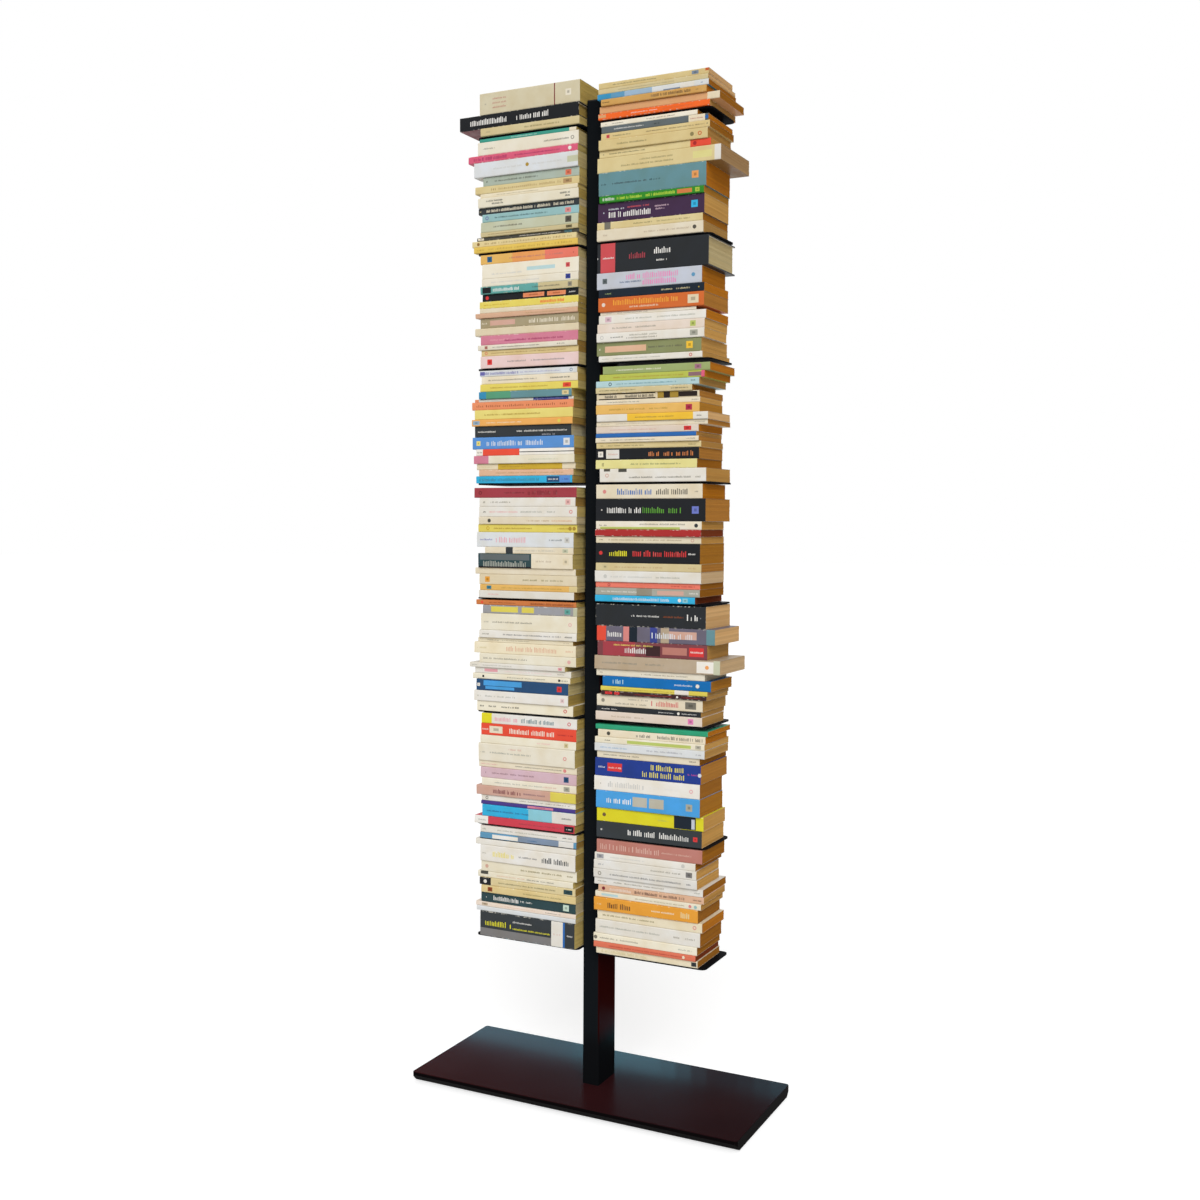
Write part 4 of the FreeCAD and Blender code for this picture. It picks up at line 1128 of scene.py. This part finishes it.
def finish_steelwork():
    """Every node of the frame itself keeps its shape and gets its finish."""
    coat = powder_coated_steel("powder_coated_steel", "111215", "15161a")
    base_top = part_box("base_cover")[1][2]
    side_low, side_high = (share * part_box("post_tube")[1][0] for share in POST_SIDE_FADE)
    foot_low, foot_high = (base_top + height for height in POST_FOOT_FADE)
    zinc = zinc_plate()
    finishes = {
        # The base's maroon tint, lighter to the left, is painted reflection; its upright edges are painted
        # shade.
        "base_cover": powder_coated_steel(
            "powder_coated_base_steel_painted_reflection", "200f12", "3b191a", rough=0.20,
            foot=("0c090a", base_top - BASE_EDGE_FADE, base_top)),
        # The post's right side is tinted red as painted reflection; below its foot heights the colour is
        # painted shade.
        "post_tube": powder_coated_steel(
            "powder_coated_post_steel_painted_reflection", "2a0504", "14171a", side_low, side_high, spread=1.0, gloss=0.0004,
            foot=("101113", foot_low, foot_high)),
        "base_glides": moulded_plastic("moulded_glide_plastic", "2a2a2b", "323233", 0.5, 0.8 * MM),
        "post_cap": moulded_plastic("moulded_cap_plastic", "17161a", "1c1b1f", 0.42, 0.6 * MM),
        "ballast_plate": bare_steel(), "foot_bolts": zinc, "cover_screws": zinc, "cover_standoffs": zinc,
    }
    for name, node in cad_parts.items():
        if name.startswith("books_"):
            continue
        node.data.materials.clear()
        node.data.materials.append(finishes.get(name, coat))


# Studio

CAMERA_TURN = math.radians(26.90)
CAMERA_DISTANCE = 2.3575
CAMERA_ASIDE = -0.0230
CAMERA_HEIGHT = 0.9741
CAMERA_TILT = math.radians(-2.468)
CAMERA_ROLL = math.radians(0.258)
SENSOR_WIDTH = 36.0
FOCAL_LENGTH = 41.814
CAMERA_SHIFT = (0.01025, -0.0149)

SUN_STRENGTH = 2.2
SUN_SIZE = math.radians(40)
SUN_HEIGHT = math.radians(36)
SUN_ASIDE = math.radians(26)
REFLECTOR_HEIGHT = 0.05
REFLECTOR_MIDDLE = 0.9 * REFLECTOR_HEIGHT
REFLECTOR_BACK = 0.17
REFLECTOR_COLOUR = (0.25, 0.78, 1.0)
REFLECTOR_CARDS = 33
# Places along the row of cards, and how strongly it shines there
REFLECTOR_PLACES = (-0.56, -0.16, -0.06, 0.04, 0.13, 0.19, 0.27, 0.43)
REFLECTOR_STRENGTHS = (20.0, 20.0, 27.0, 25.0, 3.5, 4.0, 11.0, 11.0)
SKY_LIGHT = 0.5
FLOOR_GLOW = 0.55
FLOOR_REACH = 30.0


def make_camera():
    """Camera to the right of the front, a little over half the bookshelf's height, tipped slightly down."""
    data = bpy.data.cameras.new("camera")
    data.sensor_fit = "HORIZONTAL"
    data.sensor_width = SENSOR_WIDTH
    data.lens = FOCAL_LENGTH
    data.shift_x, data.shift_y = CAMERA_SHIFT
    camera = new_object("camera", data)
    outward = Vector((math.sin(CAMERA_TURN), -math.cos(CAMERA_TURN), 0))
    aside = Vector((math.cos(CAMERA_TURN), math.sin(CAMERA_TURN), 0))
    camera.location = outward * CAMERA_DISTANCE + aside * CAMERA_ASIDE + Vector((0, 0, CAMERA_HEIGHT))
    upright = Euler((math.pi / 2 + CAMERA_TILT, 0, CAMERA_TURN)).to_matrix().to_4x4()
    roll = Euler((0, 0, CAMERA_ROLL)).to_matrix().to_4x4()
    camera.rotation_euler = (upright @ roll).to_euler()
    bpy.context.scene.camera = camera


def make_sun():
    """Broad soft light from the front right, above the camera."""
    data = bpy.data.lights.new("sun", "SUN")
    data.energy = SUN_STRENGTH
    data.angle = SUN_SIZE
    sun = new_object("sun", data)
    level = math.cos(SUN_HEIGHT)
    towards = Vector((math.sin(SUN_ASIDE) * level, -math.cos(SUN_ASIDE) * level, math.sin(SUN_HEIGHT)))
    sun.rotation_euler = towards.to_track_quat("Z", "Y").to_euler()


def make_reflectors():
    """Row of pale blue cards standing low behind the base; they show only as sheen on glossy surfaces."""
    start, end = REFLECTOR_PLACES[0], REFLECTOR_PLACES[-1]
    width = (end - start) / REFLECTOR_CARDS
    for number in range(REFLECTOR_CARDS):
        x = start + width * (number + 0.5)
        strength = float(numpy.interp(x, REFLECTOR_PLACES, REFLECTOR_STRENGTHS))
        data = bpy.data.lights.new("reflector", "AREA")
        data.shape = "RECTANGLE"
        data.size, data.size_y = width, REFLECTOR_HEIGHT
        data.color = REFLECTOR_COLOUR
        data.energy = strength * math.pi * width * REFLECTOR_HEIGHT
        reflector = new_object("reflector", data)
        reflector.location = (x, REFLECTOR_BACK, CAD_BOX[0][2] + REFLECTOR_MIDDLE)
        reflector.rotation_euler = Vector((0, 1, 0)).to_track_quat("Z", "Y").to_euler()
        reflector.visible_camera = False
        reflector.visible_diffuse = False


def make_world():
    """White backdrop for the camera and for reflections, and an even grey-white light on the surfaces."""
    world = bpy.data.worlds.new("studio")
    world.use_nodes = True
    tree = world.node_tree
    tree.nodes.clear()
    strength = add(tree, "ShaderNodeMapRange", [seen_by_eye(tree), 0, 1, SKY_LIGHT, 1])
    sky = add(tree, "ShaderNodeBackground", {"Color": linear("ffffff"), "Strength": strength})
    add(tree, "ShaderNodeOutputWorld", {"Surface": sky})
    bpy.context.scene.world = world


def make_floor():
    mesh = bpy.data.meshes.new("floor")
    r = FLOOR_REACH
    mesh.from_pydata([(-r, -r, 0), (r, -r, 0), (r, r, 0), (-r, r, 0)], [], [(0, 1, 2, 3)])
    mesh.materials.append(studio_floor())
    new_object("floor", mesh)


make_camera()
make_sun()
make_reflectors()
make_world()
make_floor()
finish_steelwork()
make_books()
bpy.context.scene.view_settings.view_transform = "Standard"
